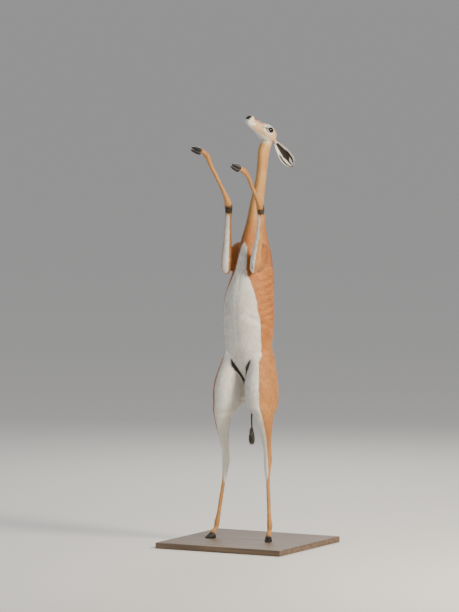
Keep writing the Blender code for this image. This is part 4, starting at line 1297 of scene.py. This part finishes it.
# Each piece: its runs, from one height to another, its blades, and the run that lays it flat
COAT_LIFT = 0.05
COAT = (
    ("coat_loins", ("trunk",), 0.0, 1.10, 19500, "trunk"),
    ("coat_chest", ("trunk",), 1.10, 1.36, 19500, "trunk"),
    ("coat_neck", ("trunk",), 1.36, 2.10, 19500, "trunk"),
    ("coat_arms", ("arm_left", "arm_right"), 0.0, 2.1, 5000, "arm_left"),
    ("coat_hind_left", ("hind_left",), 0.0, 2.1, 15000, "hind_left"),
    ("coat_hind_right", ("hind_right",), 0.0, 2.1, 15000, "hind_right"),
    ("coat_fore_left", ("fore_left",), 0.0, 2.1, 8500, "fore_left"),
    ("coat_fore_right", ("fore_right",), 0.0, 2.1, 8500, "fore_right"),
    ("coat_head", "head", 0.0, 2.3, 19000, None),
)
for seed, (name, place, low, high, count, flat) in enumerate(COAT):
    roots, normals, draw = scatter(skin.data, region(place, low, high), count, seed + 11)
    length, width = tuft_size(roots)
    unwrap = run_unwrap(RUNS[flat]) if flat else head_unwrap
    lies = hair_ways(roots)
    coat = blades(name, roots, normals, lies, length, width, COAT_LIFT, draw, unwrap, coat_finish)
    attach(coat, "root")

# The tail.
# A thin tail that hangs between the buttocks, its hair too short to stand out, with a black tuft.
# The tuft's hairs are long blades that overlap and close to a point.

TAIL = (
    (0.000, -0.085, 0.830, 0.016, 0.012, 0.012, 0.0),
    (-0.002, -0.118, 0.815, 0.014, 0.011, 0.010, 0.0),
    (-0.012, -0.132, 0.770, 0.010, 0.008, 0.008, 0.0),
    (-0.028, -0.128, 0.690, 0.0065, 0.0055, 0.0055, 0.0),
    (-0.040, -0.118, 0.620, 0.0050, 0.0045, 0.0045, 0.0),
    (-0.037, -0.112, 0.548, 0.0045, 0.0040, 0.0040, 0.0),
)
TUFT_LENGTH = 0.085
TUFT_BLADES = 900
TUFT_BLADE_WIDTH = 0.0022
TUFT_LIFT = 0.08


def tail_fields(points):
    """Tan at the root, then red-brown, then black towards the tuft: darker towards the bottom, partly
    the tail's own dark end and partly painted shade down the hanging tail.
    """
    height = height_of(points)
    return columns(len(points), -0.05, (0.745 - height) * 0.3, (0.650 - height) * 0.3, 0.30)


tail_run = Run(TAIL, False, (0.0, -1.0, 0.0))
tail = closed_form("tail_skin", tail_run.rings(24, -0.0006))
store_fields(tail.data, tail_fields(corners_of(tail.data)))
tail.data.materials.append(coat_finish)
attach(tail, "root")
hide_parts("tail")

dark = Finish("black_tuft", 0.5, Sheen_Weight=0.3)
dark.colour(dark.ramp(dark.noise(300.0, 3.0), (0.3, (0.014, 0.009, 0.006)),
                      (0.8, (0.050, 0.031, 0.021))))
dark_hair = dark.material

tail_end = to_world(TAIL[-1][:3])
tail_down = unit(tail_end - to_world(TAIL[-2][:3]))
tail_side = unit(np.cross(tail_down, (0.0, 1.0, 0.0)))
tail_other = np.cross(tail_down, tail_side)
draw = np.random.default_rng(5)
turn = draw.uniform(0, 2 * math.pi, TUFT_BLADES)
start = draw.uniform(-0.012, 0.050, TUFT_BLADES)
outward = tail_side * np.cos(turn)[:, None] + tail_other * np.sin(turn)[:, None]
swell = 0.0040 + 0.0060 * np.sin(np.clip(start / 0.05, 0, 1) * math.pi)
roots = tail_end + tail_down * start[:, None] + outward * swell[:, None]
reach = np.minimum(0.036, TUFT_LENGTH - start)
lies = tail_down + outward * (0.10 - 0.20 * start / 0.05)[:, None]


def flat_unwrap(points):
    """A flat map by height and by the angle round the tail."""
    offset = points - tail_end
    turn = np.arctan2(offset @ tail_side, offset @ tail_other) / (2 * math.pi) + 0.5
    return np.stack([0.05 + 0.9 * turn, 0.5 + (offset @ tail_down) * 4.0], axis=1)


tuft = blades("tail_hair", roots, outward, lies, reach, np.full(TUFT_BLADES, TUFT_BLADE_WIDTH),
              TUFT_LIFT, draw, flat_unwrap, dark_hair)
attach(tuft, "root")
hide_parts("tail_tuft")

# The knee brushes.
# A short brush of dark coarse hair on the front of each raised knee, over the dark band.
# Its blades stand out a little more than the coat and point to the hoof.

BRUSH_BLADES = 520
BRUSH_BLADE_LENGTH = 0.015
BRUSH_BLADE_WIDTH = 0.0013
BRUSH_LIFT = 0.12

for seed, side in enumerate(("left", "right")):
    run = RUNS["fore_" + side]
    draw = np.random.default_rng(31 + seed)
    count = BRUSH_BLADES
    key = run.keys[KNEE] + draw.uniform(-0.044, 0.002, count)
    turn = draw.normal(0.0, 0.65, count)
    row = np.clip(np.searchsorted(run.wanted, key), 0, len(run.wanted) - 1)
    outward = run.front[row] * np.cos(turn)[:, None] + run.side[row] * np.sin(turn)[:, None]
    spot = run.values[row, :3] + outward * (run.values[row, 3] * 0.94)[:, None]
    length, width = np.full(count, BRUSH_BLADE_LENGTH), np.full(count, BRUSH_BLADE_WIDTH)
    brush = blades("knee_brush_" + side, to_world(spot), outward * FLIP, run.axis[row] * FLIP,
                   length, width, BRUSH_LIFT, draw, run_unwrap(run), dark_hair)
    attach(brush, "root")

# The studio.
# A plain pale floor under soft light from the animal's left, and a long lens at the photo's angle.

AZIMUTH = math.radians(28.0)
ELEVATION = math.radians(5.0)
CAMERA_DISTANCE = 30.0
VIEW_HEIGHT = 3.06
VIEW_CENTRE = -0.0925
VIEW_LEVEL = BASE_TOP + 1.175
FLOOR_REACH = 160.0

floor = mesh_object("floor", np.array([(-1, -1, 0), (1, -1, 0), (1, 1, 0), (-1, 1, 0)]) * FLOOR_REACH,
                    [[0, 1, 2, 3]])
floor.data.materials.append(Finish("pale_floor", 0.8, Base_Color=(0.70, 0.68, 0.65, 1.0)).material)


def soft_light(name, spot, aim, size, power, colour):
    """A round soft light at a spot, turned to its aim."""
    lamp = bpy.data.lights.new(name, "AREA")
    lamp.shape = "DISK"
    lamp.size = size
    lamp.energy = power
    lamp.color = colour
    made = bpy.data.objects.new(name, lamp)
    made.location = spot
    offset = np.array(aim, float) - np.array(spot, float)
    flat = math.hypot(offset[0], offset[1])
    made.rotation_euler = (math.atan2(flat, -offset[2]), 0.0, math.atan2(offset[1], offset[0])
                           - math.pi / 2)
    bpy.context.scene.collection.objects.link(made)


soft_light("key", (4.0, -0.6, 3.0), (0, 0, 1.2), 1.4, 370.0, (1.0, 0.90, 0.74))
soft_light("fill", (-3.0, -3.6, 2.2), (0, 0, 1.1), 3.0, 60.0, (0.84, 0.91, 1.0))
soft_light("back", (-1.4, 3.6, 3.4), (0, 0, 1.2), 2.4, 110.0, (1.0, 0.97, 0.92))

world = bpy.data.worlds.new("pale")
bpy.context.scene.world = world
world.use_nodes = True
world.node_tree.nodes["Background"].inputs["Color"].default_value = (0.80, 0.82, 0.85, 1.0)
world.node_tree.nodes["Background"].inputs["Strength"].default_value = 0.55

lens = bpy.data.cameras.new("camera")
lens.sensor_width = 36.0
lens.lens = 36.0 * CAMERA_DISTANCE / VIEW_HEIGHT
lens.clip_end = 400.0
camera = bpy.data.objects.new("camera", lens)
right = np.array((math.cos(AZIMUTH), math.sin(AZIMUTH), 0.0))
toward = np.array((math.sin(AZIMUTH) * math.cos(ELEVATION), -math.cos(AZIMUTH) * math.cos(ELEVATION),
                   math.sin(ELEVATION)))
camera.location = right * VIEW_CENTRE + (0, 0, VIEW_LEVEL) + toward * CAMERA_DISTANCE
camera.rotation_euler = (math.pi / 2 - ELEVATION, 0.0, AZIMUTH)
bpy.context.scene.collection.objects.link(camera)
bpy.context.scene.camera = camera
